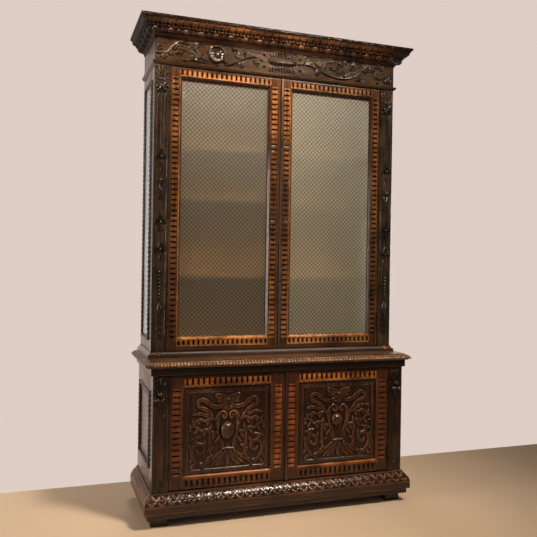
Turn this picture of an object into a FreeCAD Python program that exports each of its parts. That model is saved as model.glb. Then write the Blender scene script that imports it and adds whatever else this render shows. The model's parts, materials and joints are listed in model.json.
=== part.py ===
"""Two-part carved oak bookcase cabinet: panelled doors below, patterned-glass doors above.

Millimetres. +Z is up, the front faces -Y, and the origin is at the middle of the footprint, on the floor.
A depth is measured forward from the back plane, which the whole cabinet shares.
"""
import FreeCAD, Part
import os
from FreeCAD import Vector

# Heights of the stack, from the floor up
FOOT_SHOWN_H = 47.0
PLINTH_STEP_H = 28.0
PLINTH_BAND_H = 37.0
PLINTH_SLOPE_H = 46.0
PLINTH_FILLET_H = 7.0
LOWER_POST_H = 555.0
LOWER_FRIEZE_H = 37.0
WAIST_COVE_H = 7.0
WAIST_TIP_H = 6.0
WAIST_SLOPE_H = 15.0
WAIST_STEP_H = 4.0
UPPER_BASE_BAND_H = 13.0
UPPER_BASE_COVE_H = 13.0
UPPER_BASE_FILLET_H = 3.0
UPPER_POST_H = 1411.0
LEDGE_ROUND_H = 11.0
LEDGE_TIP_H = 6.0
FRIEZE_H = 116.0
CORNICE_FOOT_FILLET_H = 7.0
CORNICE_FOOT_COVE_H = 9.0
CORNICE_OVOLO_H = 24.0
CORNICE_BEAD_H = 11.0
CORNICE_CYMA_H = 27.0
CORNICE_FILLET_H = 10.0

# Widths and depths of the two cases, over the faces of their posts
LOWER_W = 1334.0
LOWER_D = 472.0
UPPER_W = 1320.0
UPPER_D = 344.0

# How far the members of each moulding stand out
PLINTH_OUT = 37.0
PLINTH_STEP_IN = 13.0
PLINTH_SWELL = 6.0
PLINTH_FILLET_OUT = 7.0
LOWER_FRIEZE_OUT = 11.5
LOWER_FRIEZE_ROUND = 5.0
LOWER_FRIEZE_SWELL = 1.2
WAIST_SIDE_OUT = 40.0
WAIST_FRONT_OUT = 28.0
WAIST_COVE = 13.0
WAIST_SLOPE = 22.0
WAIST_STEP = 4.0
WAIST_SWELL = 2.0
UPPER_BASE_OUT = 17.0
UPPER_BASE_COVE = 13.0
UPPER_BASE_HOLLOW = 2.5
UPPER_BASE_STOCK = 50.0
LEDGE_OUT = 12.0
LEDGE_SWELL = 2.0
CORNICE_FOOT_FILLET = 4.0
CORNICE_FOOT_COVE = 12.0
CORNICE_FOOT_HOLLOW = 2.0
CORNICE_OVOLO = 22.0
CORNICE_OVOLO_SWELL = 6.0
CORNICE_BEAD_STEP = 6.0
CORNICE_BEAD_SWELL = 5.5
CORNICE_CYMA_STEP = 9.0
CORNICE_CYMA = 25.0
CORNICE_CYMA_CURVE = 3.0
CORNICE_TOP_W = 34.0
CORNICE_BACK_H = 22.0
CORNICE_SEAT_W = 14.0

# Feet, posts, rails, boards and panels of the cases
FOOT_W = 82.0
FOOT_SETBACK = 15.0
BOARD_T = 22.0
DUST_BOARD_T = 12.0
LOWER_POST_W = 79.0
LOWER_POST_D = 80.0
UPPER_POST_W = 76.0
UPPER_POST_D = 75.0
SIDE_FRAME_T = 30.0
LOWER_BACK_POST_D = 55.0
UPPER_BACK_POST_D = 50.0
LOWER_SIDE_BOTTOM_RAIL_H = 97.0
LOWER_SIDE_TOP_RAIL_H = 84.0
UPPER_SIDE_BOTTOM_RAIL_H = 50.0
UPPER_SIDE_TOP_RAIL_H = 60.0
BACK_PANEL_T = 12.0
BACK_PANEL_SETBACK = 4.0

# Fielded panels of the lower sides and the lower doors
PANEL_TONGUE_T = 8.0
PANEL_TONGUE_L = 8.0
PANEL_FIELD_T = 7.0
PANEL_SETBACK = 4.0
SIDE_PANEL_BEVEL_W = 46.0
DOOR_PANEL_BEVEL_W = 20.0
GROOVE_PLAY = 0.2

# Shelves, by the height of their upper faces above the floor of their case
SHELF_T = 22.0
SHELF_PLAY = 1.0
BEARER_W = 20.0
BEARER_H = 18.0
LOWER_SHELF_RISE = 285.0
UPPER_SHELF_RISES = (360.0, 766.0, 1026.0)

# Doors
DOOR_T = 28.0
DOOR_RECESS = 2.0
DOOR_GAP = 3.0
UPPER_DOOR_FOOT_GAP = 2.0
LOWER_DOOR_FOOT_GAP = 5.0
DOOR_HEAD_GAP = 3.0
UPPER_STILE_W = 46.0
UPPER_MEETING_STILE_W = 52.0
UPPER_TOP_RAIL_H = 46.0
UPPER_BOTTOM_RAIL_H = 55.0
LOWER_STILE_W = 69.0
LOWER_MEETING_STILE_W = 75.0
LOWER_RAIL_H = 63.0
TENON_L = 26.0
TENON_T = 9.0
TENON_SHOULDER = 10.0
TENON_PLAY = 0.1
STOP_W = 16.0
STOP_H = 18.0
STOP_PLAY = 0.3
STOP_END_PLAY = 2.0
UPPER_ASTRAGAL_W = 12.0
LOWER_ASTRAGAL_W = 18.0
ASTRAGAL_EDGE_H = 2.0
ASTRAGAL_CROWN_H = 4.5

# Glazing
GLASS_T = 4.0
GLASS_PLAY = 0.5
BACK_BEAD_T = 10.0
BEAD_SETBACK = 1.0
DOOR_BEAD_W = 15.0
SIDE_BEAD_W = 16.0
SIDE_BEAD_OUT = 9.0
SIDE_GLASS_SETBACK = 4.0

# Butt hinges
HINGE_H = 70.0
HINGE_LEAF_W = 26.0
HINGE_PLAY = 0.6
KNUCKLE_R = 4.0
KNUCKLE_PLAY = 0.3
PIN_R = 2.0
PIN_PLAY = 0.05
PIN_STANDS_OUT = 3.0
UPPER_HINGE_INSET = 150.0
LOWER_HINGE_INSET = 90.0

# Levels and faces that several pieces share
Z_BAND = FOOT_SHOWN_H + PLINTH_STEP_H
Z_SLOPE = Z_BAND + PLINTH_BAND_H
Z_PLINTH_FILLET = Z_SLOPE + PLINTH_SLOPE_H
Z_LOWER_FLOOR = Z_PLINTH_FILLET + PLINTH_FILLET_H
Z_LOWER_FRIEZE = Z_LOWER_FLOOR + LOWER_POST_H
Z_WAIST = Z_LOWER_FRIEZE + LOWER_FRIEZE_H
Z_UPPER_BASE = Z_WAIST + WAIST_COVE_H + WAIST_TIP_H + WAIST_SLOPE_H + WAIST_STEP_H
Z_UPPER_POST = Z_UPPER_BASE + UPPER_BASE_BAND_H + UPPER_BASE_COVE_H + UPPER_BASE_FILLET_H
Z_LEDGE = Z_UPPER_POST + UPPER_POST_H
Z_FRIEZE = Z_LEDGE + LEDGE_ROUND_H + LEDGE_TIP_H
Z_CORNICE = Z_FRIEZE + FRIEZE_H
UPPER_FLOOR = Z_UPPER_POST + BOARD_T
LOWER_SIDE_X = -LOWER_W / 2
UPPER_SIDE_X = -UPPER_W / 2
LOWER_FRAME_X = LOWER_SIDE_X + SIDE_FRAME_T
UPPER_FRAME_X = UPPER_SIDE_X + SIDE_FRAME_T
LOWER_POST_X = LOWER_SIDE_X + LOWER_POST_W
UPPER_POST_X = UPPER_SIDE_X + UPPER_POST_W
LOWER_POST_BACK = LOWER_D - LOWER_POST_D
UPPER_POST_BACK = UPPER_D - UPPER_POST_D
LOWER_STOP_FRONT = LOWER_D - DOOR_RECESS - DOOR_T - STOP_PLAY
UPPER_STOP_FRONT = UPPER_D - DOOR_RECESS - DOOR_T - STOP_PLAY
BACK_PANEL_FRONT = BACK_PANEL_SETBACK + BACK_PANEL_T
BACK_Y = (LOWER_D + PLINTH_OUT) / 2

pieces = {}


def slab(x0, x1, depth0, depth1, z0, z1):
    """A rectangular piece between two widths, two depths and two heights."""
    return Part.makeBox(x1 - x0, depth1 - depth0, z1 - z0, Vector(x0, BACK_Y - depth1, z0))


def mirrored(shape):
    """The same piece on the other side of the cabinet."""
    return shape.mirror(Vector(0, 0, 0), Vector(1, 0, 0))


def with_twins(solids):
    """Left pieces followed by their right twins, as separate solids of one node."""
    return solids + [mirrored(solid) for solid in solids]


def section(outline, place):
    """A face from (out, height) points; a point of four numbers ends an arc through its first two."""
    start = place(*outline[0])
    here = start
    edges = []
    for point in outline[1:]:
        there = place(*point[-2:])
        if len(point) == 4:
            edges.append(Part.Arc(here, place(*point[:2]), there).toShape())
        else:
            edges.append(Part.LineSegment(here, there).toShape())
        here = there
    edges.append(Part.LineSegment(here, start).toShape())
    return Part.Face(Part.Wire(edges))


def bowed(out0, z0, out1, z1, swell):
    """The end of a moulding's curve from one point to another, bowed out (or in) by the swell."""
    run = out1 - out0
    rise = z1 - z0
    length = (run ** 2 + rise ** 2) ** 0.5
    middle_out = (out0 + out1) / 2 + swell * rise / length
    middle_z = (z0 + z1) / 2 - swell * run / length
    return (middle_out, middle_z, out1, z1)


def plan_prism(corners):
    """A prism over a plan polygon, taller than the cabinet, that cuts a mitre."""
    points = [Vector(x, y, -1) for x, y in corners]
    face = Part.Face(Part.makePolygon(points + points[:1]))
    return face.extrude(Vector(0, 0, 2 * Z_CORNICE))


def moulding(name, outline, side_x, depth):
    """A moulding round three sides: a front strip and two side strips, mitred at the corners."""
    reach = max(point[-2] for point in outline) + 1
    stock = 1 - min(point[-2] for point in outline)
    front_y = BACK_Y - depth
    far = reach - side_x
    front = section(outline, lambda out, z: Vector(-far, front_y - out, z))
    front = front.extrude(Vector(2 * far, 0, 0))
    side = section(outline, lambda out, z: Vector(side_x - out, BACK_Y, z))
    side = side.extrude(Vector(0, -depth - reach, 0))
    inner = (side_x + stock, front_y + stock)
    outer = (side_x - reach, front_y - reach)
    front_plan = plan_prism([outer, (-outer[0], outer[1]), (-inner[0], inner[1]), inner])
    side_plan = plan_prism([outer, inner, (inner[0], BACK_Y), (outer[0], BACK_Y)])
    pieces[name + "_front"] = front.common(front_plan).Solids
    pieces[name + "_sides"] = with_twins(side.common(side_plan).Solids)


def grown(box, play):
    """The box that clears a slab by the play on every face."""
    x0, x1, depth0, depth1, z0, z1 = box
    return slab(x0 - play, x1 + play, depth0 - play, depth1 + play, z0 - play, z1 + play)


def frustum(near, far):
    """The bevelled field of a panel, between the corners of its two rectangles."""
    wires = [Part.makePolygon(corners + corners[:1]) for corners in (near, far)]
    return Part.makeLoft(wires, True, True)


def export():
    """Writes each node as one file: a solid, or a group of separate solids."""
    os.makedirs("parts", exist_ok=True)
    for name, solids in pieces.items():
        shape = solids[0] if len(solids) == 1 else Part.makeCompound(solids)
        shape.exportStep("parts/" + name + ".step")


# Plinth, feet and bottom board: the board lies on four blocks that run up inside the mitred plinth
moulding("plinth", [
    (0, FOOT_SHOWN_H),
    (PLINTH_OUT - PLINTH_STEP_IN, FOOT_SHOWN_H),
    (PLINTH_OUT - PLINTH_STEP_IN, Z_BAND),
    (PLINTH_OUT, Z_BAND),
    (PLINTH_OUT, Z_SLOPE),
    bowed(PLINTH_OUT, Z_SLOPE, PLINTH_FILLET_OUT, Z_PLINTH_FILLET, PLINTH_SWELL),
    (PLINTH_FILLET_OUT, Z_LOWER_FLOOR),
    (0, Z_LOWER_FLOOR),
], LOWER_SIDE_X, LOWER_D)
foot_top = Z_LOWER_FLOOR - BOARD_T
foot_inner_x = LOWER_SIDE_X + FOOT_W
foot_front = LOWER_D - FOOT_SETBACK
pieces["block_feet"] = with_twins([
    slab(LOWER_SIDE_X, foot_inner_x, foot_front - FOOT_W, foot_front, 0, foot_top),
    slab(LOWER_SIDE_X, foot_inner_x, 0, FOOT_W, 0, foot_top),
])
pieces["lower_bottom_board"] = [slab(LOWER_SIDE_X, -LOWER_SIDE_X, 0, LOWER_D, foot_top, Z_LOWER_FLOOR)]

# Lower side frames: a fielded panel loose in the grooves of the front post, back post and two rails
panel_z0 = Z_LOWER_FLOOR + LOWER_SIDE_BOTTOM_RAIL_H
panel_z1 = Z_LOWER_FRIEZE - LOWER_SIDE_TOP_RAIL_H
field_x = LOWER_SIDE_X + PANEL_SETBACK
bevel_x = field_x + PANEL_FIELD_T
tongue = (
    bevel_x, bevel_x + PANEL_TONGUE_T,
    LOWER_BACK_POST_D - PANEL_TONGUE_L, LOWER_POST_BACK + PANEL_TONGUE_L,
    panel_z0 - PANEL_TONGUE_L, panel_z1 + PANEL_TONGUE_L,
)


def side_rectangle(x, inset):
    """Corners of the side panel's opening, drawn in by the inset."""
    y0 = BACK_Y - LOWER_BACK_POST_D - inset
    y1 = BACK_Y - LOWER_POST_BACK + inset
    z0 = panel_z0 + inset
    z1 = panel_z1 - inset
    return [Vector(x, y0, z0), Vector(x, y1, z0), Vector(x, y1, z1), Vector(x, y0, z1)]


groove = grown(tongue, GROOVE_PLAY)
side_field = frustum(side_rectangle(bevel_x, GROOVE_PLAY), side_rectangle(field_x, SIDE_PANEL_BEVEL_W))
pieces["lower_side_panels"] = with_twins([slab(*tongue).fuse(side_field).removeSplitter().Solids[0]])
frame = [
    slab(LOWER_SIDE_X, LOWER_FRAME_X, 0, LOWER_BACK_POST_D, Z_LOWER_FLOOR, Z_LOWER_FRIEZE),
    slab(LOWER_SIDE_X, LOWER_FRAME_X, LOWER_BACK_POST_D, LOWER_POST_BACK, Z_LOWER_FLOOR, panel_z0),
    slab(LOWER_SIDE_X, LOWER_FRAME_X, LOWER_BACK_POST_D, LOWER_POST_BACK, panel_z1, Z_LOWER_FRIEZE),
]
pieces["lower_side_frames"] = with_twins([member.cut(groove).Solids[0] for member in frame])
post = slab(LOWER_SIDE_X, LOWER_POST_X, LOWER_POST_BACK, LOWER_D, Z_LOWER_FLOOR, Z_LOWER_FRIEZE)
post = post.cut(groove).Solids[0]
pieces["lower_left_post"] = [post]
pieces["lower_right_post"] = [mirrored(post)]
pieces["lower_back_panel"] = [
    slab(LOWER_FRAME_X, -LOWER_FRAME_X, BACK_PANEL_SETBACK, BACK_PANEL_FRONT, Z_LOWER_FLOOR, Z_WAIST)
]

# Lower frieze: the rail over the lower doors, returned along both sides on top of the posts
moulding("lower_frieze", [
    (-SIDE_FRAME_T, Z_LOWER_FRIEZE),
    (LOWER_FRIEZE_OUT - LOWER_FRIEZE_ROUND, Z_LOWER_FRIEZE),
    bowed(LOWER_FRIEZE_OUT - LOWER_FRIEZE_ROUND, Z_LOWER_FRIEZE,
          LOWER_FRIEZE_OUT, Z_LOWER_FRIEZE + LOWER_FRIEZE_ROUND, LOWER_FRIEZE_SWELL),
    (LOWER_FRIEZE_OUT, Z_WAIST),
    (-SIDE_FRAME_T, Z_WAIST),
], LOWER_SIDE_X, LOWER_D)

# Waist board: one wide board whose front and ends are worked with the same edge moulding
z_tip = Z_WAIST + WAIST_COVE_H
z_slope = z_tip + WAIST_TIP_H
z_step = z_slope + WAIST_SLOPE_H
edge = [
    (-WAIST_COVE, Z_WAIST),
    bowed(-WAIST_COVE, Z_WAIST, 0, z_tip, -WAIST_SWELL),
    (0, z_slope),
    bowed(0, z_slope, -WAIST_SLOPE, z_step, WAIST_SWELL),
    (-WAIST_SLOPE - WAIST_STEP, z_step),
    (-WAIST_SLOPE - WAIST_STEP, Z_UPPER_BASE),
]
waist_front = LOWER_D + WAIST_FRONT_OUT
waist_side_x = LOWER_SIDE_X - WAIST_SIDE_OUT
front_outline = [(-waist_front, Z_WAIST)] + edge + [(-waist_front, Z_UPPER_BASE)]
side_outline = [(waist_side_x, Z_WAIST)] + edge + [(waist_side_x, Z_UPPER_BASE)]
front_worked = section(front_outline, lambda out, z: Vector(waist_side_x, BACK_Y - waist_front - out, z))
front_worked = front_worked.extrude(Vector(-2 * waist_side_x, 0, 0))
left_worked = section(side_outline, lambda out, z: Vector(waist_side_x - out, BACK_Y, z))
left_worked = left_worked.extrude(Vector(0, -waist_front, 0))
ends_worked = left_worked.fuse(mirrored(left_worked)).removeSplitter()
pieces["waist_board"] = front_worked.common(ends_worked).Solids

# Lower shelf on two bearers between the front posts and the back panel
lower_shelf_top = Z_LOWER_FLOOR + LOWER_SHELF_RISE
pieces["lower_shelf"] = [
    slab(LOWER_FRAME_X + SHELF_PLAY, -LOWER_FRAME_X - SHELF_PLAY,
         BACK_PANEL_FRONT, LOWER_POST_BACK - SHELF_PLAY, lower_shelf_top - SHELF_T, lower_shelf_top)
]
pieces["lower_shelf_bearers"] = with_twins([
    slab(LOWER_FRAME_X, LOWER_FRAME_X + BEARER_W, BACK_PANEL_FRONT, LOWER_POST_BACK,
         lower_shelf_top - SHELF_T - BEARER_H, lower_shelf_top - SHELF_T)
])

# Base mouldings of the upper case, and the floor board that lies on them behind the doors
z_base_cove = Z_UPPER_BASE + UPPER_BASE_BAND_H
z_base_fillet = z_base_cove + UPPER_BASE_COVE_H
base_fillet_out = UPPER_BASE_OUT - UPPER_BASE_COVE
moulding("upper_base", [
    (-UPPER_BASE_STOCK, Z_UPPER_BASE),
    (UPPER_BASE_OUT, Z_UPPER_BASE),
    (UPPER_BASE_OUT, z_base_cove),
    bowed(UPPER_BASE_OUT, z_base_cove, base_fillet_out, z_base_fillet, -UPPER_BASE_HOLLOW),
    (base_fillet_out, Z_UPPER_POST),
    (-UPPER_BASE_STOCK, Z_UPPER_POST),
], UPPER_SIDE_X, UPPER_D)
floor_back = slab(UPPER_FRAME_X, -UPPER_FRAME_X, BACK_PANEL_FRONT, UPPER_POST_BACK, Z_UPPER_POST, UPPER_FLOOR)
floor_front = slab(UPPER_POST_X, -UPPER_POST_X, UPPER_POST_BACK, UPPER_STOP_FRONT, Z_UPPER_POST, UPPER_FLOOR)
pieces["upper_bottom_board"] = floor_back.fuse(floor_front).removeSplitter().Solids

# Upper case: front posts, side frames and the back panel
post = slab(UPPER_SIDE_X, UPPER_POST_X, UPPER_POST_BACK, UPPER_D, Z_UPPER_POST, Z_LEDGE)
pieces["upper_left_post"] = [post]
pieces["upper_right_post"] = [mirrored(post)]
pane_z0 = Z_UPPER_POST + UPPER_SIDE_BOTTOM_RAIL_H
pane_z1 = Z_LEDGE - UPPER_SIDE_TOP_RAIL_H
pieces["upper_side_frames"] = with_twins([
    slab(UPPER_SIDE_X, UPPER_FRAME_X, 0, UPPER_BACK_POST_D, Z_UPPER_POST, Z_LEDGE),
    slab(UPPER_SIDE_X, UPPER_FRAME_X, UPPER_BACK_POST_D, UPPER_POST_BACK, Z_UPPER_POST, pane_z0),
    slab(UPPER_SIDE_X, UPPER_FRAME_X, UPPER_BACK_POST_D, UPPER_POST_BACK, pane_z1, Z_LEDGE),
])
pieces["upper_back_panel"] = [
    slab(UPPER_FRAME_X, -UPPER_FRAME_X, BACK_PANEL_SETBACK, BACK_PANEL_FRONT, Z_UPPER_POST, Z_CORNICE)
]

# Side glass: a pane in each side frame, held between inner beads and outer ones that stand proud of the frame
pane_x0 = UPPER_SIDE_X + SIDE_GLASS_SETBACK
pane_x1 = pane_x0 + GLASS_T
pieces["side_glass"] = with_twins([
    slab(pane_x0, pane_x1, UPPER_BACK_POST_D + GLASS_PLAY, UPPER_POST_BACK - GLASS_PLAY,
         pane_z0 + GLASS_PLAY, pane_z1 - GLASS_PLAY)
])
side_beads = []
for bead_x0, bead_x1 in ((UPPER_SIDE_X - SIDE_BEAD_OUT, pane_x0), (pane_x1, UPPER_FRAME_X)):
    side_beads += [
        slab(bead_x0, bead_x1, UPPER_BACK_POST_D, UPPER_BACK_POST_D + SIDE_BEAD_W, pane_z0, pane_z1),
        slab(bead_x0, bead_x1, UPPER_POST_BACK - SIDE_BEAD_W, UPPER_POST_BACK, pane_z0, pane_z1),
        slab(bead_x0, bead_x1, UPPER_BACK_POST_D + SIDE_BEAD_W, UPPER_POST_BACK - SIDE_BEAD_W,
             pane_z0, pane_z0 + SIDE_BEAD_W),
        slab(bead_x0, bead_x1, UPPER_BACK_POST_D + SIDE_BEAD_W, UPPER_POST_BACK - SIDE_BEAD_W,
             pane_z1 - SIDE_BEAD_W, pane_z1),
    ]
pieces["side_glazing_beads"] = with_twins(side_beads)

# Upper shelves on bearers between the front posts and the back panel
pieces["upper_shelves"] = []
bearers = []
for rise in UPPER_SHELF_RISES:
    shelf_top = UPPER_FLOOR + rise
    shelf_bottom = shelf_top - SHELF_T
    pieces["upper_shelves"].append(
        slab(UPPER_FRAME_X + SHELF_PLAY, -UPPER_FRAME_X - SHELF_PLAY,
             BACK_PANEL_FRONT, UPPER_POST_BACK - SHELF_PLAY, shelf_bottom, shelf_top))
    bearers.append(
        slab(UPPER_FRAME_X, UPPER_FRAME_X + BEARER_W, BACK_PANEL_FRONT, UPPER_POST_BACK,
             shelf_bottom - BEARER_H, shelf_bottom))
pieces["upper_shelf_bearers"] = with_twins(bearers)

# Frieze with its ledge, on top of the upper posts, and the ceiling board inside it
z_ledge_tip = Z_LEDGE + LEDGE_ROUND_H
moulding("frieze", [
    (-SIDE_FRAME_T, Z_LEDGE),
    (0, Z_LEDGE),
    bowed(0, Z_LEDGE, LEDGE_OUT, z_ledge_tip, LEDGE_SWELL),
    (LEDGE_OUT, Z_FRIEZE),
    (0, Z_FRIEZE),
    (0, Z_CORNICE),
    (-SIDE_FRAME_T, Z_CORNICE),
], UPPER_SIDE_X, UPPER_D)
pieces["upper_top_board"] = [
    slab(UPPER_FRAME_X, -UPPER_FRAME_X, BACK_PANEL_FRONT, UPPER_D - SIDE_FRAME_T, Z_LEDGE, Z_LEDGE + BOARD_T)
]

# Cornice: fillet and cove, egg ovolo, pearl bead, leaf cyma and top fillet, with a dust board inside it
z_foot_cove = Z_CORNICE + CORNICE_FOOT_FILLET_H
z_ovolo = z_foot_cove + CORNICE_FOOT_COVE_H
z_bead = z_ovolo + CORNICE_OVOLO_H
z_cyma = z_bead + CORNICE_BEAD_H
z_cyma_middle = z_cyma + CORNICE_CYMA_H / 2
z_top_fillet = z_cyma + CORNICE_CYMA_H
z_top = z_top_fillet + CORNICE_FILLET_H
ovolo_out = CORNICE_FOOT_FILLET + CORNICE_FOOT_COVE
bead_out = ovolo_out + CORNICE_OVOLO + CORNICE_BEAD_STEP
cyma_out = bead_out + CORNICE_CYMA_STEP
cyma_middle = cyma_out + CORNICE_CYMA / 2
cornice_out = cyma_out + CORNICE_CYMA
moulding("cornice", [
    (-CORNICE_SEAT_W, Z_CORNICE),
    (CORNICE_FOOT_FILLET, Z_CORNICE),
    (CORNICE_FOOT_FILLET, z_foot_cove),
    bowed(CORNICE_FOOT_FILLET, z_foot_cove, ovolo_out, z_ovolo, -CORNICE_FOOT_HOLLOW),
    bowed(ovolo_out, z_ovolo, ovolo_out + CORNICE_OVOLO, z_bead, CORNICE_OVOLO_SWELL),
    (bead_out, z_bead),
    bowed(bead_out, z_bead, bead_out, z_cyma, CORNICE_BEAD_SWELL),
    (cyma_out, z_cyma),
    bowed(cyma_out, z_cyma, cyma_middle, z_cyma_middle, CORNICE_CYMA_CURVE),
    bowed(cyma_middle, z_cyma_middle, cornice_out, z_top_fillet, -CORNICE_CYMA_CURVE),
    (cornice_out, z_top),
    (cornice_out - CORNICE_TOP_W, z_top),
    (-CORNICE_SEAT_W, Z_CORNICE + CORNICE_BACK_H),
], UPPER_SIDE_X, UPPER_D)
dust_board_x = UPPER_SIDE_X + CORNICE_SEAT_W
pieces["dust_board"] = [
    slab(dust_board_x, -dust_board_x, 0, UPPER_D - CORNICE_SEAT_W, Z_CORNICE, Z_CORNICE + DUST_BOARD_T)
]

# Stop strips that the doors close against: under the ceiling, under the waist board, on the lower floor
upper_stop_x = UPPER_POST_X + STOP_END_PLAY
lower_stop_x = LOWER_POST_X + STOP_END_PLAY
pieces["door_stops"] = [
    slab(upper_stop_x, -upper_stop_x, UPPER_STOP_FRONT - STOP_W, UPPER_STOP_FRONT, Z_LEDGE - STOP_H, Z_LEDGE),
    slab(lower_stop_x, -lower_stop_x, LOWER_STOP_FRONT - STOP_W, LOWER_STOP_FRONT,
         Z_LOWER_FRIEZE - STOP_H, Z_WAIST),
    slab(lower_stop_x, -lower_stop_x, LOWER_STOP_FRONT - STOP_W, LOWER_STOP_FRONT,
         Z_LOWER_FLOOR, Z_LOWER_FLOOR + STOP_H),
]

# Butt hinges: thin leaves on the post and on the door's edge, knuckles in front of the post
hinge_case_leaves = []
hinge_pins = []
leaf_t = (DOOR_GAP - HINGE_PLAY) / 2
leaf_front = KNUCKLE_R + KNUCKLE_PLAY
knuckle_h = HINGE_H / 3


def hinge_leaf(x0, knuckles):
    """A leaf whose plate starts at x0 beside the pin's axis, with a knuckle at each (bottom, top)."""
    leaf = Part.makeBox(leaf_t, HINGE_LEAF_W, HINGE_H, Vector(x0, leaf_front, -HINGE_H / 2))
    for z0, z1 in knuckles:
        leaf = leaf.fuse(Part.makeBox(leaf_t, leaf_front, z1 - z0, Vector(x0, 0, z0)))
        leaf = leaf.fuse(Part.makeCylinder(KNUCKLE_R, z1 - z0, Vector(0, 0, z0)))
    bore = Part.makeCylinder(PIN_R + PIN_PLAY, 2 * HINGE_H, Vector(0, 0, -HINGE_H))
    return leaf.cut(bore).removeSplitter().Solids[0]


def hang(door, post_x, depth, heights):
    """Hinges for a left door and its right twin, with the pins' axis in front of the posts."""
    lowest = -HINGE_H / 2
    middle = (lowest + knuckle_h + KNUCKLE_PLAY, lowest + 2 * knuckle_h - KNUCKLE_PLAY)
    ends = [(lowest, lowest + knuckle_h), (lowest + 2 * knuckle_h, lowest + HINGE_H)]
    pin_h = HINGE_H + 2 * PIN_STANDS_OUT
    door_leaves = []
    for z in heights:
        place = Vector(post_x + DOOR_GAP / 2, BACK_Y - depth - leaf_front, z)
        hinge_case_leaves.append(hinge_leaf(-DOOR_GAP / 2, ends).translated(place))
        door_leaves.append(hinge_leaf(DOOR_GAP / 2 - leaf_t, [middle]).translated(place))
        pin = Part.makeCylinder(PIN_R, pin_h, Vector(0, 0, -pin_h / 2))
        hinge_pins.append(pin.translated(place))
    pieces[door.format("left") + "_hinge_leaves"] = door_leaves
    pieces[door.format("right") + "_hinge_leaves"] = [mirrored(leaf) for leaf in door_leaves]


def door_pieces(door, node, solids):
    """The same node on the left door and, mirrored, on the right one."""
    pieces[door.format("left") + node] = solids
    pieces[door.format("right") + node] = [mirrored(solid) for solid in solids]


def door_frame(x0, x1, front, z0, z1, stile_w, meeting_w, bottom_h, top_h):
    """Outer stile, meeting stile, bottom rail and top rail; the rails are tenoned into the stiles."""
    back = front - DOOR_T
    tenon_back = back + (DOOR_T - TENON_T) / 2
    stiles = [
        slab(x0, x0 + stile_w, back, front, z0, z1),
        slab(x1 - meeting_w, x1, back, front, z0, z1),
    ]
    rails = []
    for rail_z0, rail_z1 in ((z0, z0 + bottom_h), (z1 - top_h, z1)):
        tenon = (
            x0 + stile_w - TENON_L, x1 - meeting_w + TENON_L,
            tenon_back, tenon_back + TENON_T,
            rail_z0 + TENON_SHOULDER, rail_z1 - TENON_SHOULDER,
        )
        rail = slab(x0 + stile_w, x1 - meeting_w, back, front, rail_z0, rail_z1)
        rails.append(rail.fuse(slab(*tenon)).removeSplitter().Solids[0])
        stiles = [stile.cut(grown(tenon, TENON_PLAY)).Solids[0] for stile in stiles]
    return stiles + rails


def astragal(door, x1, front, z0, z1, width):
    """A rounded bead along the meeting edge of the right door, stopping short of the gap."""
    x0 = x1 - width
    outline = [
        (x0, front),
        (x0, front + ASTRAGAL_EDGE_H),
        ((x0 + x1) / 2, front + ASTRAGAL_EDGE_H + ASTRAGAL_CROWN_H, x1, front + ASTRAGAL_EDGE_H),
        (x1, front),
    ]
    bead = section(outline, lambda x, depth: Vector(x, BACK_Y - depth, z0))
    pieces[door.format("right") + "_astragal"] = [mirrored(bead.extrude(Vector(0, 0, z1 - z0)))]


# Upper doors: a frame round one pane of patterned glass, held between front and back beads
door = "upper_{}_door"
x0 = UPPER_POST_X + DOOR_GAP
x1 = -DOOR_GAP / 2
z0 = Z_UPPER_POST + UPPER_DOOR_FOOT_GAP
z1 = Z_LEDGE - DOOR_HEAD_GAP
front = UPPER_D - DOOR_RECESS
members = door_frame(x0, x1, front, z0, z1, UPPER_STILE_W, UPPER_MEETING_STILE_W,
                     UPPER_BOTTOM_RAIL_H, UPPER_TOP_RAIL_H)
for node, member in zip(("_outer_stile", "_meeting_stile", "_bottom_rail", "_top_rail"), members):
    door_pieces(door, node, [member])
open_x0 = x0 + UPPER_STILE_W
open_x1 = x1 - UPPER_MEETING_STILE_W
open_z0 = z0 + UPPER_BOTTOM_RAIL_H
open_z1 = z1 - UPPER_TOP_RAIL_H
pane_back = front - DOOR_T + BACK_BEAD_T
pane_front = pane_back + GLASS_T
door_pieces(door, "_glass", [
    slab(open_x0 + GLASS_PLAY, open_x1 - GLASS_PLAY, pane_back, pane_front,
         open_z0 + GLASS_PLAY, open_z1 - GLASS_PLAY)
])
beads = []
for bead_back, bead_front in ((pane_front, front - BEAD_SETBACK), (front - DOOR_T, pane_back)):
    beads += [
        slab(open_x0, open_x0 + DOOR_BEAD_W, bead_back, bead_front, open_z0, open_z1),
        slab(open_x1 - DOOR_BEAD_W, open_x1, bead_back, bead_front, open_z0, open_z1),
        slab(open_x0 + DOOR_BEAD_W, open_x1 - DOOR_BEAD_W, bead_back, bead_front,
             open_z0, open_z0 + DOOR_BEAD_W),
        slab(open_x0 + DOOR_BEAD_W, open_x1 - DOOR_BEAD_W, bead_back, bead_front,
             open_z1 - DOOR_BEAD_W, open_z1),
    ]
door_pieces(door, "_glazing_beads", beads)
astragal(door, x1, front, z0, z1, UPPER_ASTRAGAL_W)
hang(door, UPPER_POST_X, UPPER_D, (z0 + UPPER_HINGE_INSET, (z0 + z1) / 2, z1 - UPPER_HINGE_INSET))

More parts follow.
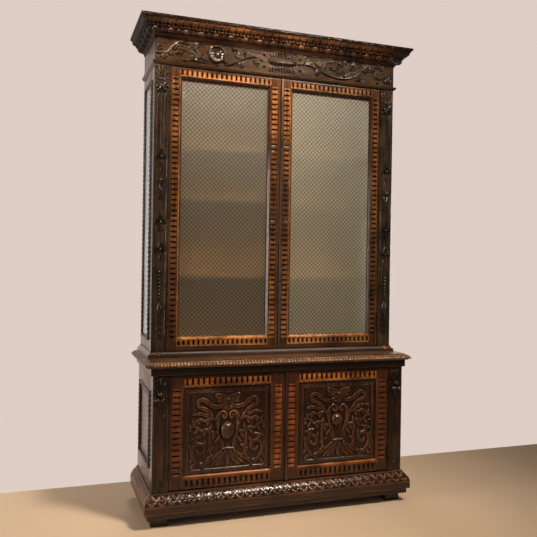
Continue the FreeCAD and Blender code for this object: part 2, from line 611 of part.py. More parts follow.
# Lower doors: a frame round a carved fielded panel that lies loose in its grooves
door = "lower_{}_door"
x0 = LOWER_POST_X + DOOR_GAP
z0 = Z_LOWER_FLOOR + LOWER_DOOR_FOOT_GAP
z1 = Z_LOWER_FRIEZE - DOOR_HEAD_GAP
front = LOWER_D - DOOR_RECESS
members = door_frame(x0, x1, front, z0, z1, LOWER_STILE_W, LOWER_MEETING_STILE_W, LOWER_RAIL_H, LOWER_RAIL_H)
open_x0 = x0 + LOWER_STILE_W
open_x1 = x1 - LOWER_MEETING_STILE_W
open_z0 = z0 + LOWER_RAIL_H
open_z1 = z1 - LOWER_RAIL_H
field_front = front - PANEL_SETBACK
bevel_front = field_front - PANEL_FIELD_T
tongue = (
    open_x0 - PANEL_TONGUE_L, open_x1 + PANEL_TONGUE_L,
    bevel_front - PANEL_TONGUE_T, bevel_front,
    open_z0 - PANEL_TONGUE_L, open_z1 + PANEL_TONGUE_L,
)


def door_rectangle(depth, inset):
    """Corners of the lower door's opening, drawn in by the inset."""
    y = BACK_Y - depth
    left = open_x0 + inset
    right = open_x1 - inset
    bottom = open_z0 + inset
    top = open_z1 - inset
    return [Vector(left, y, bottom), Vector(right, y, bottom), Vector(right, y, top), Vector(left, y, top)]


groove = grown(tongue, GROOVE_PLAY)
members = [member.cut(groove).Solids[0] for member in members]
door_pieces(door, "_outer_stile", [members[0]])
door_pieces(door, "_meeting_stile", [members[1]])
door_pieces(door, "_rails", members[2:])
field = frustum(door_rectangle(bevel_front, GROOVE_PLAY), door_rectangle(field_front, DOOR_PANEL_BEVEL_W))
door_pieces(door, "_panel", [slab(*tongue).fuse(field).removeSplitter().Solids[0]])
astragal(door, x1, front, z0, z1, LOWER_ASTRAGAL_W)
hang(door, LOWER_POST_X, LOWER_D, (z0 + LOWER_HINGE_INSET, z1 - LOWER_HINGE_INSET))

pieces["hinge_case_leaves"] = with_twins(hinge_case_leaves)
pieces["hinge_pins"] = with_twins(hinge_pins)
export()
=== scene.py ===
"""Looks of the two-part carved oak bookcase cabinet, built round its packed construction.

Metres. +Z is up and the doors face -Y, as in the construction.
"""
import json
import math

import bmesh
import bpy
import numpy as np
from mathutils import Matrix, Vector


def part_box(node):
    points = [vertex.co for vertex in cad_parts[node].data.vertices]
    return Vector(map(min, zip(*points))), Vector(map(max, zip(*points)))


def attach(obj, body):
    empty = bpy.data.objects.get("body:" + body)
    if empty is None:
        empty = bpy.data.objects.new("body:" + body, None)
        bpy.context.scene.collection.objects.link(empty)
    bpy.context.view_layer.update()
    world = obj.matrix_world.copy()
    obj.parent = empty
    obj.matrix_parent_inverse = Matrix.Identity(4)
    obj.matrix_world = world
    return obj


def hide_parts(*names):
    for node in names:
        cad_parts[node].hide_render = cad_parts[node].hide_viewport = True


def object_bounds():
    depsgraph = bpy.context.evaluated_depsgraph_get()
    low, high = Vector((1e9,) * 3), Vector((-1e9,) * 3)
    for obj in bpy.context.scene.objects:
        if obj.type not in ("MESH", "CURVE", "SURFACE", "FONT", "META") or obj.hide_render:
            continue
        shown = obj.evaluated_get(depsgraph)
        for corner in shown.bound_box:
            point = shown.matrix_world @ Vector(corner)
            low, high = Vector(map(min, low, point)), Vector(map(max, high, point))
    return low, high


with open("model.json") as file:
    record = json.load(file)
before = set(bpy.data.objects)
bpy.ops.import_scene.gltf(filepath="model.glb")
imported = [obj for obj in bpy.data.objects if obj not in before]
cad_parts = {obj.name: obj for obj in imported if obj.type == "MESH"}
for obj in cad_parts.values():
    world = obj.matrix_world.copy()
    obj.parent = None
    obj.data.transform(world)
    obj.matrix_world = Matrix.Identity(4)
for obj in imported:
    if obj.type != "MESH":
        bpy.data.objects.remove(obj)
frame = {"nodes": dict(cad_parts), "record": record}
cad_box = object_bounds()

# Block feet: four square oak blocks under the corners, planed, which run up inside the plinth.
# The timber is stained almost black and waxed; hands, dusters and brooms have rubbed its arrises brown.
MM = 0.001
WELD = 1e-6
FLAT_TURN = 0.01
FACES_UP = 0.5
ARRIS_ANGLE = math.radians(35)
FLAT_RUB = 0.12
ARRIS_RUB = 0.8
GRAIN_ALONG = 5.0
GRAIN_ACROSS = 70.0
FIGURE_SPREAD = (0.35, 0.68, 0.2, 0.8)
PORE_SPREAD = (0.54, 0.68, 0.0, 1.0)
WEAR_SPREAD = (0.36, 0.62, 0.3, 1.0)
PATINA = (0.3, 0.7)
PORE_STAIN = 0.55
PORE_DEPTH = 0.6 * MM
PORE_EDGE = 0.25
WAX_SHINE = 0.45
WAX_SMOOTHER = 0.06
WAX_ROUGHER = 0.1
body_of = {node: body for body, nodes in frame["record"]["behaviour"]["bodies"].items() for node in nodes}


def stain(red, green, blue):
    """A colour as it is seen, 0 to 255, as the linear colour of a finish."""
    seen = np.array([red, green, blue]) / 255
    linear = np.where(seen <= 0.04045, seen / 12.92, ((seen + 0.055) / 1.055) ** 2.4)
    return (*linear.tolist(), 1.0)


def new_finish(name):
    """An empty finish, its node tree and its shader."""
    finish = bpy.data.materials.new(name)
    finish.use_nodes = True
    return finish, finish.node_tree, finish.node_tree.nodes["Principled BSDF"]


def shader_node(tree, kind, inputs, **settings):
    """Adds a node; an input that is a socket is linked, any other value is set on the node."""
    node = tree.nodes.new("ShaderNode" + kind)
    for key, value in settings.items():
        setattr(node, key, value)
    for key, value in inputs.items():
        if isinstance(value, bpy.types.NodeSocket):
            tree.links.new(value, node.inputs[key])
        else:
            node.inputs[key].default_value = value
    return node


def mottle(tree, place, scale, detail):
    """Cloudy variation over the surface, about 0.3 to 0.7."""
    return shader_node(tree, "TexNoise", {"Vector": place, "Scale": scale, "Detail": detail}).outputs["Fac"]


def ranged(tree, value, low, high, to_low, to_high):
    """A value spread from one range over another."""
    limits = {"Value": value, "From Min": low, "From Max": high, "To Min": to_low, "To Max": to_high}
    return shader_node(tree, "MapRange", limits).outputs["Result"]


def combined(tree, operation, one, other):
    """Two values put together by one operation."""
    return shader_node(tree, "Math", {0: one, 1: other}, operation=operation).outputs["Value"]


def tint(tree, share, below, above):
    """One colour over another, by its share."""
    return shader_node(tree, "Mix", {0: share, 6: below, 7: above}, data_type="RGBA").outputs[2]


def rub_value(tree):
    """How far the surface is rubbed, as stored on the mesh."""
    return shader_node(tree, "Attribute", {}, attribute_name="rub").outputs["Fac"]


def waxed_oak(name, grain, black, brown, rubbed, gloss=0.28):
    """Oak whose figure runs along one axis, dark in the hollows and paler where it is rubbed."""
    black, brown, rubbed = stain(*black), stain(*brown), stain(*rubbed)
    finish, tree, shader = new_finish(name)
    place = shader_node(tree, "TexCoord", {}).outputs["Object"]
    stretch = [GRAIN_ALONG if axis == grain else GRAIN_ACROSS for axis in "xyz"]
    along = shader_node(tree, "Mapping", {"Vector": place, "Scale": stretch}).outputs["Vector"]
    figure = ranged(tree, mottle(tree, along, scale=1.0, detail=6.0), *FIGURE_SPREAD)
    pores = ranged(tree, mottle(tree, along, scale=7.0, detail=2.0), *PORE_SPREAD)
    patina = mottle(tree, place, scale=7.0, detail=4.0)
    worn = combined(tree, "MULTIPLY", rub_value(tree), ranged(tree, patina, *WEAR_SPREAD))
    oak = tint(tree, figure, black, brown)
    oak = tint(tree, worn, oak, tint(tree, figure, brown, rubbed))
    oak = tint(tree, combined(tree, "MULTIPLY", pores, PORE_STAIN), oak, black)
    tree.links.new(oak, shader.inputs["Base Color"])
    roughness = ranged(tree, patina, *PATINA, gloss - WAX_SMOOTHER, gloss + WAX_ROUGHER)
    tree.links.new(roughness, shader.inputs["Roughness"])
    shader.inputs["Specular IOR Level"].default_value = WAX_SHINE
    bump = shader_node(tree, "Bump", {"Height": pores, "Strength": PORE_EDGE, "Distance": -PORE_DEPTH})
    tree.links.new(bump.outputs["Normal"], shader.inputs["Normal"])
    return finish


def put_in_place(name, mesh, finish, node):
    """The finished piece stands for a plain node and moves with its body."""
    mesh.materials.clear()
    mesh.materials.append(finish)
    mesh.shade_smooth()
    mesh.set_sharp_from_angle(angle=ARRIS_ANGLE)
    piece = bpy.data.objects.new(name, mesh)
    bpy.context.scene.collection.objects.link(piece)
    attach(piece, body_of[node])
    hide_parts(node)


def eased(node, finish, ease, top_rub=FLAT_RUB):
    """A plain timber piece with its arrises taken off and rubbed, and its upper faces set to the rubbing
    given, which on the shelves is painted light.
    """
    mesh = frame["nodes"][node].data.copy()
    shape = bmesh.new()
    shape.from_mesh(mesh)
    bmesh.ops.remove_doubles(shape, verts=shape.verts, dist=WELD)
    bmesh.ops.dissolve_limit(shape, angle_limit=FLAT_TURN, verts=shape.verts, edges=shape.edges)
    rub = shape.faces.layers.float.new("rub")
    for face in shape.faces:
        face[rub] = top_rub if face.normal.z > FACES_UP else FLAT_RUB
    arrises = [edge for edge in shape.edges if edge.is_manifold and edge.calc_face_angle() > ARRIS_ANGLE]
    worked = bmesh.ops.bevel(shape, geom=arrises, offset=ease, segments=2, profile=0.5,
                             affect="EDGES", clamp_overlap=True)
    for face in worked["faces"]:
        face[rub] = ARRIS_RUB
    shape.to_mesh(mesh)
    shape.free()
    put_in_place(node + "_waxed", mesh, finish, node)


black_oak = (20, 14, 10)
brown_oak = (50, 32, 21)
# Darker black and brown that stand for shade: painted shade for parts that lie in shadow.
shaded_black = (12, 8, 5)
shaded_brown = (28, 18, 11)
foot_ease = 3 * MM
# The feet take the darker black and brown as painted shade: the shadow under the plinth.
foot_oak = waxed_oak("painted_shade_oak_foot", "z", shaded_black, shaded_brown, brown_oak)
eased("block_feet", foot_oak, foot_ease)

# Plinth: three mitred oak mouldings round the foot of the lower case, planed to a band and a swelling slope.
# The slope is carved with two rows of split leaves along the front and with slanting gadroons on the sides.
STRIP_STEP = 2.5 * MM
OUTLINE_STEP = 3 * MM
MITRE_FADE = 8 * MM
STRAIGHT = 1e-9
OUTWARD = 0.05
OUTWARD_FADE = 0.2
SOFT_ROUNDS = 12


def cut_outline(node):
    """The outline of a moulding across the middle of the cabinet, as points (out of the front, height)."""
    shape = bmesh.new()
    shape.from_mesh(frame["nodes"][node].data)
    bmesh.ops.remove_doubles(shape, verts=shape.verts, dist=WELD)
    everything = shape.verts[:] + shape.edges[:] + shape.faces[:]
    cut = bmesh.ops.bisect_plane(shape, geom=everything, plane_co=(0, 0, 0), plane_no=(1, 0, 0))
    edges = [item for item in cut["geom_cut"] if isinstance(item, bmesh.types.BMEdge)]
    path = [edges[0].verts[0]]
    while edges:
        edge = next(edge for edge in edges if path[-1] in edge.verts)
        edges.remove(edge)
        path.append(edge.other_vert(path[-1]))
    outline = np.array([(-vert.co.y, vert.co.z) for vert in path[:-1]])
    shape.free()
    ahead = np.roll(outline, -1, axis=0) - outline
    behind = outline - np.roll(outline, 1, axis=0)
    turn = behind[:, 0] * ahead[:, 1] - behind[:, 1] * ahead[:, 0]
    outline = outline[np.abs(turn) > STRAIGHT]
    following = np.roll(outline, -1, axis=0)
    area = np.sum(outline[:, 0] * following[:, 1] - outline[:, 1] * following[:, 0])
    return outline if area > 0 else outline[::-1]


def close_points(outline):
    """The outline with close points on its outward faces, and its outward normals."""
    points = []
    for here, there in zip(outline, np.roll(outline, -1, axis=0)):
        outward = there[1] > here[1]
        count = max(1, math.ceil(np.linalg.norm(there - here) / OUTLINE_STEP)) if outward else 1
        points += [here + (there - here) * share for share in np.arange(count) / count]
    points = np.array(points)
    run = np.roll(points, -1, axis=0) - np.roll(points, 1, axis=0)
    normals = np.stack([run[:, 1], -run[:, 0]], axis=1)
    return points, normals / np.linalg.norm(normals, axis=1, keepdims=True)


def fade(distance, reach):
    """Nought at an edge, one from the reach onwards, with an easy slope between."""
    share = np.clip(distance / reach, 0, 1)
    return share * share * (3 - 2 * share)


def softened(height):
    """The carved heights averaged with their neighbours, many times over."""
    for _ in range(SOFT_ROUNDS):
        edged = np.pad(height, 1, mode="edge")
        sides = edged[1:-1, :-2] + edged[1:-1, 2:] + edged[:-2, 1:-1] + edged[2:, 1:-1]
        height = (2 * height + sides) / 6
    return height


def rubbing(height, middle=FLAT_RUB, depth=3 * MM):
    """How far the carving is rubbed: its high points and edges most, its hollows least."""
    return np.clip(middle + (height - softened(height)) / depth, 0, 1)


def rubbed_high(relief, run, height):
    """A carved moulding rubbed along its high points."""
    return rubbing(relief)


def skin(name, strips, finish, node):
    """Closed strips, each a row of like outlines with their rubbing, capped at both ends, as one piece."""
    points = []
    faces = []
    rubs = []
    start = 0
    for outlines, rub in strips:
        stations, around = outlines.shape[:2]
        index = start + np.arange(stations * around).reshape(stations, around)
        ahead = np.roll(index, -1, axis=1)
        quads = np.stack([index[:-1], ahead[:-1], ahead[1:], index[1:]], axis=-1)
        faces += quads.reshape(-1, 4).tolist() + [index[0, ::-1].tolist(), index[-1].tolist()]
        points.append(outlines.reshape(-1, 3))
        rubs.append(np.broadcast_to(rub, (stations, around)).reshape(-1))
        start += stations * around
    mesh = bpy.data.meshes.new(name)
    mesh.from_pydata(np.concatenate(points).tolist(), [], faces)
    shape = bmesh.new()
    shape.from_mesh(mesh)
    bmesh.ops.recalc_face_normals(shape, faces=shape.faces)
    shape.to_mesh(mesh)
    shape.free()
    rub_layer = mesh.attributes.new("rub", "FLOAT", "POINT")
    rub_layer.data.foreach_set("value", np.concatenate(rubs).astype(np.float32))
    put_in_place(name, mesh, finish, node)


def carved_strip(outline, end_of, carve, wear_and_painted_light):
    """One length of moulding: its outline run between the ends that each of its points has, and carved.

    end_of gives the two ends of a point's run and a maker of places (run, out, height); carve gives
    how far the carving stands out at (run, height), as an array of stations by points; wear_and_painted_light
    gives how far such carving is rubbed there, with the light and shade that some mouldings paint into it.
    """
    points, normals = close_points(outline)
    low, high, place = end_of(points[:, 0])
    stations = max(2, math.ceil(np.max(high - low) / STRIP_STEP) + 1)
    run = low + (high - low) * np.linspace(0, 1, stations)[:, None]
    height = np.broadcast_to(points[:, 1], run.shape)
    outward = fade(normals[:, 0] - OUTWARD, OUTWARD_FADE)
    relief = carve(run, height) * outward * fade(np.minimum(run - low, high - run), MITRE_FADE)
    carved = place(run, points[:, 0] + relief * normals[:, 0], height + relief * normals[:, 1])
    return carved, np.where(normals[:, 0] > OUTWARD, wear_and_painted_light(relief, run, height), FLAT_RUB)


def mitred_strips(front_node, carve_front, carve_side, wear_and_painted_light=rubbed_high, outline=None):
    """A moulding round the front and both sides, mitred: the front strip, and the two side strips."""
    outline = cut_outline(front_node) if outline is None else outline
    low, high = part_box(front_node)
    half = high.x + low.y
    back = cad_box[1].y

    def front_ends(out):
        reach = half + out
        return -reach, reach, lambda run, out, z: np.stack([run, -out, z], axis=-1)

    def side_ends(side):
        def ends(out):
            start = np.full_like(out, -back)
            return start, out, lambda run, out, z: np.stack([side * (half + out), -run, z], axis=-1)
        return ends

    front = carved_strip(outline, front_ends, carve_front, wear_and_painted_light)
    return [front] + [carved_strip(outline, side_ends(side), carve_side, wear_and_painted_light) for side in (-1, 1)]


def mitred_round(name, carve_front, carve_side, finishes, wear_and_painted_light=rubbed_high):
    """A mitred moulding as two pieces: the front, and both sides."""
    strips = mitred_strips(name + "_front", carve_front, carve_side, wear_and_painted_light)
    skin(name + "_front_carved", strips[:1], finishes[0], name + "_front")
    skin(name + "_sides_carved", strips[1:], finishes[1], name + "_sides")


def bump_round(across, along):
    """A half-round swelling, one at its middle and nought where either measure reaches one."""
    return np.sqrt(np.clip(1 - across ** 2 - along ** 2, 0, 1))


def repeat(run, pitch, shift=0.0):
    """Place within each repeat of an ornament, from minus a half to a half."""
    return np.mod(run / pitch - shift, 1) - 0.5


slope_low = 112 * MM
slope_high = 158 * MM
slope_ease = 0.1
leaf_pitch = 48 * MM
leaf_reach = 19 * MM
leaf_half_w = 5.5 * MM
leaf_half_l = 0.62
leaf_fullness = 1.7
leaf_depth = 6 * MM
# Each row of leaves: its shift along the plinth, its foot, its rise, and how far its tips sink back.
leaf_rows = ((0.0, slope_low + 23 * MM, 20 * MM, 0.25), (0.5, slope_low + 5 * MM, 12 * MM, 0.85))
punch_pitch = 7 * MM
punch_share = 0.1
rib_pitch = 40 * MM
rib_slant = 0.35
rib_ease = 0.15
plinth_arrises = (75 * MM, 110 * MM, 163 * MM)
arris_w = 3 * MM
# Rubbing of the plinth: the leaf crowns and the arrises of the band are made paler than rubbing alone would
# leave them, as painted glints.
plinth_hollow_rub = 0.05
plinth_leaf_rub_and_glint = 0.75
plinth_arris_rub_and_glint = 0.5
plinth_rub_depth = 0.8 * leaf_depth


def split_leaves(run, height):
    """Two rows of leaves on a punched ground, the lower between the upper; each parts like a swallow tail."""
    punched = np.sin(2 * np.pi * run / punch_pitch) * np.sin(2 * np.pi * height / punch_pitch)
    relief = -punch_share * (1 + punched)
    for shift, foot, rise, lean in leaf_rows:
        out = np.abs(repeat(run, leaf_pitch, shift)) * leaf_pitch
        length = math.hypot(leaf_reach, rise)
        along = (out * leaf_reach + (height - foot) * rise) / length ** 2
        aside = (out * rise - (height - foot) * leaf_reach) / length
        lobe = np.minimum(leaf_fullness * bump_round(aside / leaf_half_w, (along - 0.5) / leaf_half_l), 1)
        relief = np.maximum(relief, lobe * (1 - lean * np.clip(along, 0, 1)))
    level = (height - slope_low) / (slope_high - slope_low)
    ends = fade(level + slope_ease / 2, slope_ease) * fade(1 + slope_ease / 2 - level, slope_ease)
    return relief * leaf_depth * ends


def gadroons(run, height):
    """Slanting rounded ribs."""
    level = (height - slope_low) / (slope_high - slope_low)
    rib = np.sin(np.pi * (run / rib_pitch + rib_slant * level)) ** 2
    return rib * leaf_depth * fade(level, rib_ease) * fade(1 - level, rib_ease)


def plinth_wear_and_glints(relief, run, height):
    """The carving and the arrises of the band are rubbed pale, and made paler still as painted glints; the
    hollows stay black.
    """
    arris = sum(np.exp(-((height - level) / arris_w) ** 2) for level in plinth_arrises)
    leaf = np.clip(relief / plinth_rub_depth, 0, 1)
    return np.clip(plinth_hollow_rub + plinth_leaf_rub_and_glint * leaf + plinth_arris_rub_and_glint * arris, 0, 1)


# The plinth's rubbed colour is pale so that its leaves carry painted glints.
plinth_x = waxed_oak("polished_oak_plinth", "x", black_oak, (58, 34, 22), (196, 132, 88), gloss=0.12)
# The plinth's sides are coloured far paler than its front, as painted sheen of the sides in grazing light.
plinth_y = waxed_oak("oak_plinth_side", "y", (34, 23, 17), (96, 66, 46), (206, 158, 116), gloss=0.3)
mitred_round("plinth", split_leaves, gadroons, (plinth_x, plinth_y), plinth_wear_and_glints)

# Boards of the lower case: plain oak boards for the floor, the shelf and its bearers, and upright back boards
# tongued together. Inside, the wood was only oiled, so it is paler and duller than the outside.
EASE = 1.5 * MM
INNER_EASE = 2 * MM
BACK_BOARDS = 7
BACK_GROOVE = 2.5 * MM
rubbed_oak = (132, 84, 50)
oak_x = waxed_oak("waxed_oak_along_front", "x", black_oak, brown_oak, rubbed_oak)
inner_shades = ((68, 42, 22), (108, 69, 37), (174, 124, 80))
inner_x = waxed_oak("oiled_oak_along_front", "x", *inner_shades, gloss=0.6)
inner_y = waxed_oak("oiled_oak_along_side", "y", *inner_shades, gloss=0.6)
inner_z = waxed_oak("oiled_oak_upright", "z", *inner_shades, gloss=0.6)


def upright(plan, levels, rub=FLAT_RUB):
    """A strip of one plan from foot to head, with an outline at each of the levels, and its rubbing."""
    return np.stack([np.column_stack([plan, np.full(len(plan), level)]) for level in levels]), rub


def boarded_back(node):
    """Upright back boards with a V cut along each joint, on both faces."""
    low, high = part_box(node)
    joints = np.linspace(low.x, high.x, BACK_BOARDS + 1)[1:-1]
    cuts = joints[:, None] + BACK_GROOVE * np.array([-1, 0, 1])
    face = np.concatenate([[low.x], cuts.ravel(), [high.x]])
    depth = np.array([0.0] + [0.0, BACK_GROOVE, 0.0] * len(joints) + [0.0])
    plan = np.column_stack([np.concatenate([face, face[::-1]]),
                            np.concatenate([low.y + depth, (high.y - depth)[::-1]])])
    rub = FLAT_RUB * (1 - np.concatenate([depth, depth[::-1]]) / BACK_GROOVE)
    skin(node + "_boarded", [upright(plan, (low.z, high.z), rub)], inner_z, node)


eased("lower_bottom_board", oak_x, EASE)
eased("lower_shelf", inner_x, INNER_EASE)
eased("lower_shelf_bearers", inner_y, INNER_EASE)
boarded_back("lower_back_panel")

# Lower posts: square oak posts at the front corners. Their faces are sunk between two plain fillets and
# carved near the top with a spray of leaf over three berries and a drop; two reeds run down to a bud.
CARVING_STEP = 2 * MM
HAND_WAVER = 0.25 * MM
WAVES_ACROSS = 310
WAVES_UP = 270
SWAY_ACROSS = (3, 90)
SWAY_UP = (2, 130)
CURVE_SHARES = 8
NO_LENGTH = 1e-12
STRAP_EDGE = 4
STRAP_HOLLOW = 0.38
VEIN_DEPTH = 0.55
VEIN_W = 0.22
GROUND_RUB = 0.36
ORNAMENT_RUB = 0.02
ORNAMENT_LOW = 1 * MM


def face_grid(low_u, high_u, low_v, high_v, step=CARVING_STEP):
    """Rows and columns of points over a face to be carved."""
    u = np.linspace(low_u, high_u, max(3, math.ceil((high_u - low_u) / step) + 1))
    v = np.linspace(low_v, high_v, max(3, math.ceil((high_v - low_v) / step) + 1))
    return np.meshgrid(u, v)


def front_grid(node, step=CARVING_STEP):
    """Points over the front of a node."""
    low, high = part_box(node)
    return face_grid(low.x, high.x, low.z, high.z, step)


def from_ends(u):
    """How far each point lies from the nearer end of a face."""
    return np.minimum(u - u.min(), u.max() - u)


def inset(u, v):
    """How far each point lies from the nearest edge of a face."""
    return np.minimum(from_ends(u), from_ends(v))


def curve(points):
    """A smooth carver's line through points of place and half width, in millimetres."""
    knots = np.array(points, float) * MM
    knots = np.concatenate([2 * knots[:1] - knots[1:2], knots, 2 * knots[-1:] - knots[-2:-1]])
    share = np.linspace(0, 1, CURVE_SHARES, endpoint=False)[:, None]
    spans = []
    for before, here, there, after in zip(knots, knots[1:], knots[2:], knots[3:]):
        spans.append(here + share * (there - before) / 2
                     + share ** 2 * (before - 2.5 * here + 2 * there - after / 2)
                     + share ** 3 * (1.5 * (here - there) + (after - before) / 2))
    return np.concatenate(spans + [knots[-2:-1]])


def half_round(reach):
    """The section of a stem."""
    return np.sqrt(1 - reach ** 2)


def strap(reach):
    """The section of a ribbon or strap, hollowed between its edges."""
    return np.sqrt(np.clip((1 - reach) * STRAP_EDGE, 0, 1)) * (1 - STRAP_HOLLOW + STRAP_HOLLOW * reach ** 2)


def veined(reach):
    """The section of a leaf, swelling to each side of its vein."""
    return np.sqrt(1 - reach ** 2) * (1 - VEIN_DEPTH * np.exp(-(reach / VEIN_W) ** 2))


class Carving:
    """Ornaments left standing on a face: places and widths in millimetres, heights in the given unit."""

    def __init__(self, u, v, unit=MM):
        self.u = u
        self.v = v
        self.unit = unit
        self.height = np.zeros_like(u)

    def keep_higher(self, height):
        """Adds an ornament where it is higher than what is there."""
        np.maximum(self.height, height, out=self.height)

    def boss(self, place, radii, height):
        """A round or oval boss."""
        across = (self.u - place[0] * MM) / (radii[0] * MM)
        along = (self.v - place[1] * MM) / (radii[1] * MM)
        self.keep_higher(bump_round(across, along) * (height * self.unit))

    def line(self, points, height, section=half_round):
        """A stem, ribbon or leaf along a line."""
        line = curve(points)
        for here, there in zip(line[:-1], line[1:]):
            wide = max(here[2], there[2])
            low = np.minimum(here, there) - wide
            high = np.maximum(here, there) + wide
            left, right = np.searchsorted(self.u[0], (low[0], high[0]))
            foot, top = np.searchsorted(self.v[:, 0], (low[1], high[1]))
            window = np.s_[foot:top, left:right]
            off_u = self.u[window] - here[0]
            off_v = self.v[window] - here[1]
            run = there[:2] - here[:2]
            share = np.clip((off_u * run[0] + off_v * run[1]) / max(run @ run, NO_LENGTH), 0, 1)
            reach = np.hypot(off_u - share * run[0], off_v - share * run[1])
            reach = reach / (here[2] + (there[2] - here[2]) * share)
            standing = np.where(reach < 1, section(np.minimum(reach, 1)), 0) * (height * self.unit)
            self.height[window] = np.maximum(self.height[window], standing)


def hand_cut(u, v):
    """The slight waver that a carver's tools leave on a face."""
    across = np.sin(u * WAVES_ACROSS + SWAY_ACROSS[0] * np.sin(v * SWAY_ACROSS[1]))
    up = np.sin(v * WAVES_UP + SWAY_UP[0] * np.sin(u * SWAY_UP[1]))
    return HAND_WAVER * (across * up)


def edges_off(u, v):
    """How far the four edges of a face are rounded back."""
    return -EASE * (1 - np.clip(inset(u, v) / (2 * EASE), 0, 1)) ** 2


def carved_board(u, v, ground, place, back, rub=None):
    """A board with a carved face; place turns (u, v, out) into a point, and its back lies that far in."""
    front = place(u, v, ground)
    behind = np.full(u[:, :1].shape, -back)
    right = place(u[:, -1:], v[:, -1:], behind)
    left = place(u[:, :1], v[:, :1], behind)
    rub = np.pad(rubbing(ground) if rub is None else rub, ((0, 0), (0, 2)), constant_values=FLAT_RUB)
    return np.concatenate([front, right, left], axis=1), rub


def facing_front(face_y):
    """Places on a face that looks forward."""
    return lambda u, v, out: np.stack([u, face_y - out, v], axis=-1)


def front_board(node, u, v, ground, rub):
    """A board as thick as its node, with its front face carved."""
    low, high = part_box(node)
    return carved_board(u, v, ground, facing_front(low.y), high.y - low.y, rub)


def carved_post(node, finish, carve, middle_x):
    """A post whose front is carved; carve gives heights and rubbing, at places across from the middle."""
    u, v = front_grid(node)
    height, rub = carve(u - middle_x, v)
    ground = height + hand_cut(u, v) + edges_off(u, v)
    skin(node + "_carved", [front_board(node, u, v, ground, rub)], finish, node)


fillet_w = 8 * MM
fillet_ease = 4 * MM
sunk = 3 * MM
sunk_end = 40 * MM


def sunk_face(u, v, foot, top):
    """A face sunk between two fillets, from the foot to the top of the sinking."""
    end = np.minimum(v - foot, top - v)
    return -sunk * fade(from_ends(u) - fillet_w, fillet_ease) * fade(end, sunk_end)


def black_on_brown(ground, standing, painted_highlights):
    """Ornaments left black on a rubbed ground, with pale spots of their own painted as highlights: the
    heights and the rubbing.
    """
    height = np.where(standing > 0, np.maximum(ground, standing - sunk), ground)
    return height, np.maximum(np.where(standing > ORNAMENT_LOW, ORNAMENT_RUB, GROUND_RUB), painted_highlights)


def berries(u, v):
    """Leaf spray, three berries and a drop in the head of the post, and a bud at its foot."""
    standing = Carving(u, v)
    # Painted highlights: a pale spot on the upper side of each berry.
    painted_highlights = Carving(u, v, unit=1)
    for lean in (-30, -15, 0, 15, 30):
        leaf = [(lean * 0.3, 640, 5), (lean * 0.8, 672, 8), (lean, 706 - abs(lean) * 0.4, 3)]
        standing.line(leaf, 10, veined)
    for across, level in ((0, 632), (-15, 604), (13, 602)):
        standing.boss((across, level), (14, 14), 17)
        painted_highlights.boss((across, level + 3), (7, 7), 0.6)
    standing.line([(0, 600, 11), (0, 575, 9), (0, 552, 3)], 12)
    for across in (-22, 22):
        reed = [(across, 530, 2), (across, 500, 4), (across, 230, 4), (across, 205, 2)]
        standing.line(reed, 4)
    standing.line([(0, 222, 4), (0, 198, 11), (0, 178, 6)], 10, veined)
    return black_on_brown(sunk_face(u, v, 185 * MM, 700 * MM), standing.height, painted_highlights.height)


low_post_x = 631 * MM
low_post_oak = waxed_oak("red_black_oak_post", "z", (13, 8, 6), (31, 17, 12), (120, 74, 48), gloss=0.15)
carved_post("lower_left_post", low_post_oak, berries, -low_post_x)
carved_post("lower_right_post", low_post_oak, berries, low_post_x)

# Lower side frames: two back posts and four rails of plain oak, and a fielded panel loose in the grooves on
# each side. The bevels above and below the field are carved with a row of leaves, and a black bead with
# slanting notches like a rope is pinned round the panel.
tongue = 8 * MM
side_bevel = 46 * MM
side_field = 7 * MM
side_leaf = 28 * MM
side_leaf_half = (0.45, 0.42)
side_leaf_depth = 4 * MM
side_panel_back = 15 * MM
rope_pitch = 24 * MM
rope_bulge = 9 * MM
rope_notch = 6 * MM
rope_slant = 0.4
low_rope_w = 14 * MM
low_rope_proud = 9 * MM
# The sides are coloured far paler than the front oak: painted sheen, standing for the grazing light that the
# waxed sides reflect.
side_sheen_shades = ((50, 34, 25), (118, 80, 58), (186, 132, 98))
side_sheen_oak = waxed_oak("oak_side_painted_sheen", "z", *side_sheen_shades, gloss=0.25)
# The rope beads take the darker black as painted shade, and their rubbed crowns a pale grey that paints the
# glints along the twists.
rope_oak = waxed_oak("rope_painted_shade_and_glints", "z", shaded_black, (24, 20, 19), (150, 140, 134), gloss=0.2)
eased("lower_side_frames", side_sheen_oak, EASE)


def facing_side(side, face_x, outward=1):
    """Places on a face that looks to one side, or with outward -1 back into the case."""
    return lambda u, v, out: np.stack([side * (face_x + outward * out), u, v], axis=-1)


def roped(u, v):
    """A half-round bead with slanting notches along it."""
    across = (u - u.min()) / (u.max() - u.min()) * 2 - 1
    crown = np.sqrt(np.clip(1 - across ** 2, 0, 1))
    twist = np.abs(np.sin(np.pi * (v / rope_pitch + rope_slant * across)))
    return rope_bulge * (crown - 1) - rope_notch * (1 - twist) * crown


def frame_bars(low_y, high_y, low_z, high_z, width):
    """The four bars of a frame on a side, each from y to y and from z to z; the first two run through."""
    between = (low_y + width, high_y - width)
    return ((low_y, low_y + width, low_z, high_z), (high_y - width, high_y, low_z, high_z),
            (*between, low_z, low_z + width), (*between, high_z - width, high_z))


def rope_frame(bars, place, back):
    """Roped beads along the four bars of a frame."""
    boards = []
    for number, bar in enumerate(bars):
        u, v = face_grid(*bar)
        relief = roped(u, v) if number < 2 else roped(v, u)
        boards.append(carved_board(u, v, relief, place, back))
    return boards


panel_low, panel_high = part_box("lower_side_panels")
side_opening = (panel_low.y + tongue, panel_high.y - tongue, panel_low.z + tongue, panel_high.z - tongue)


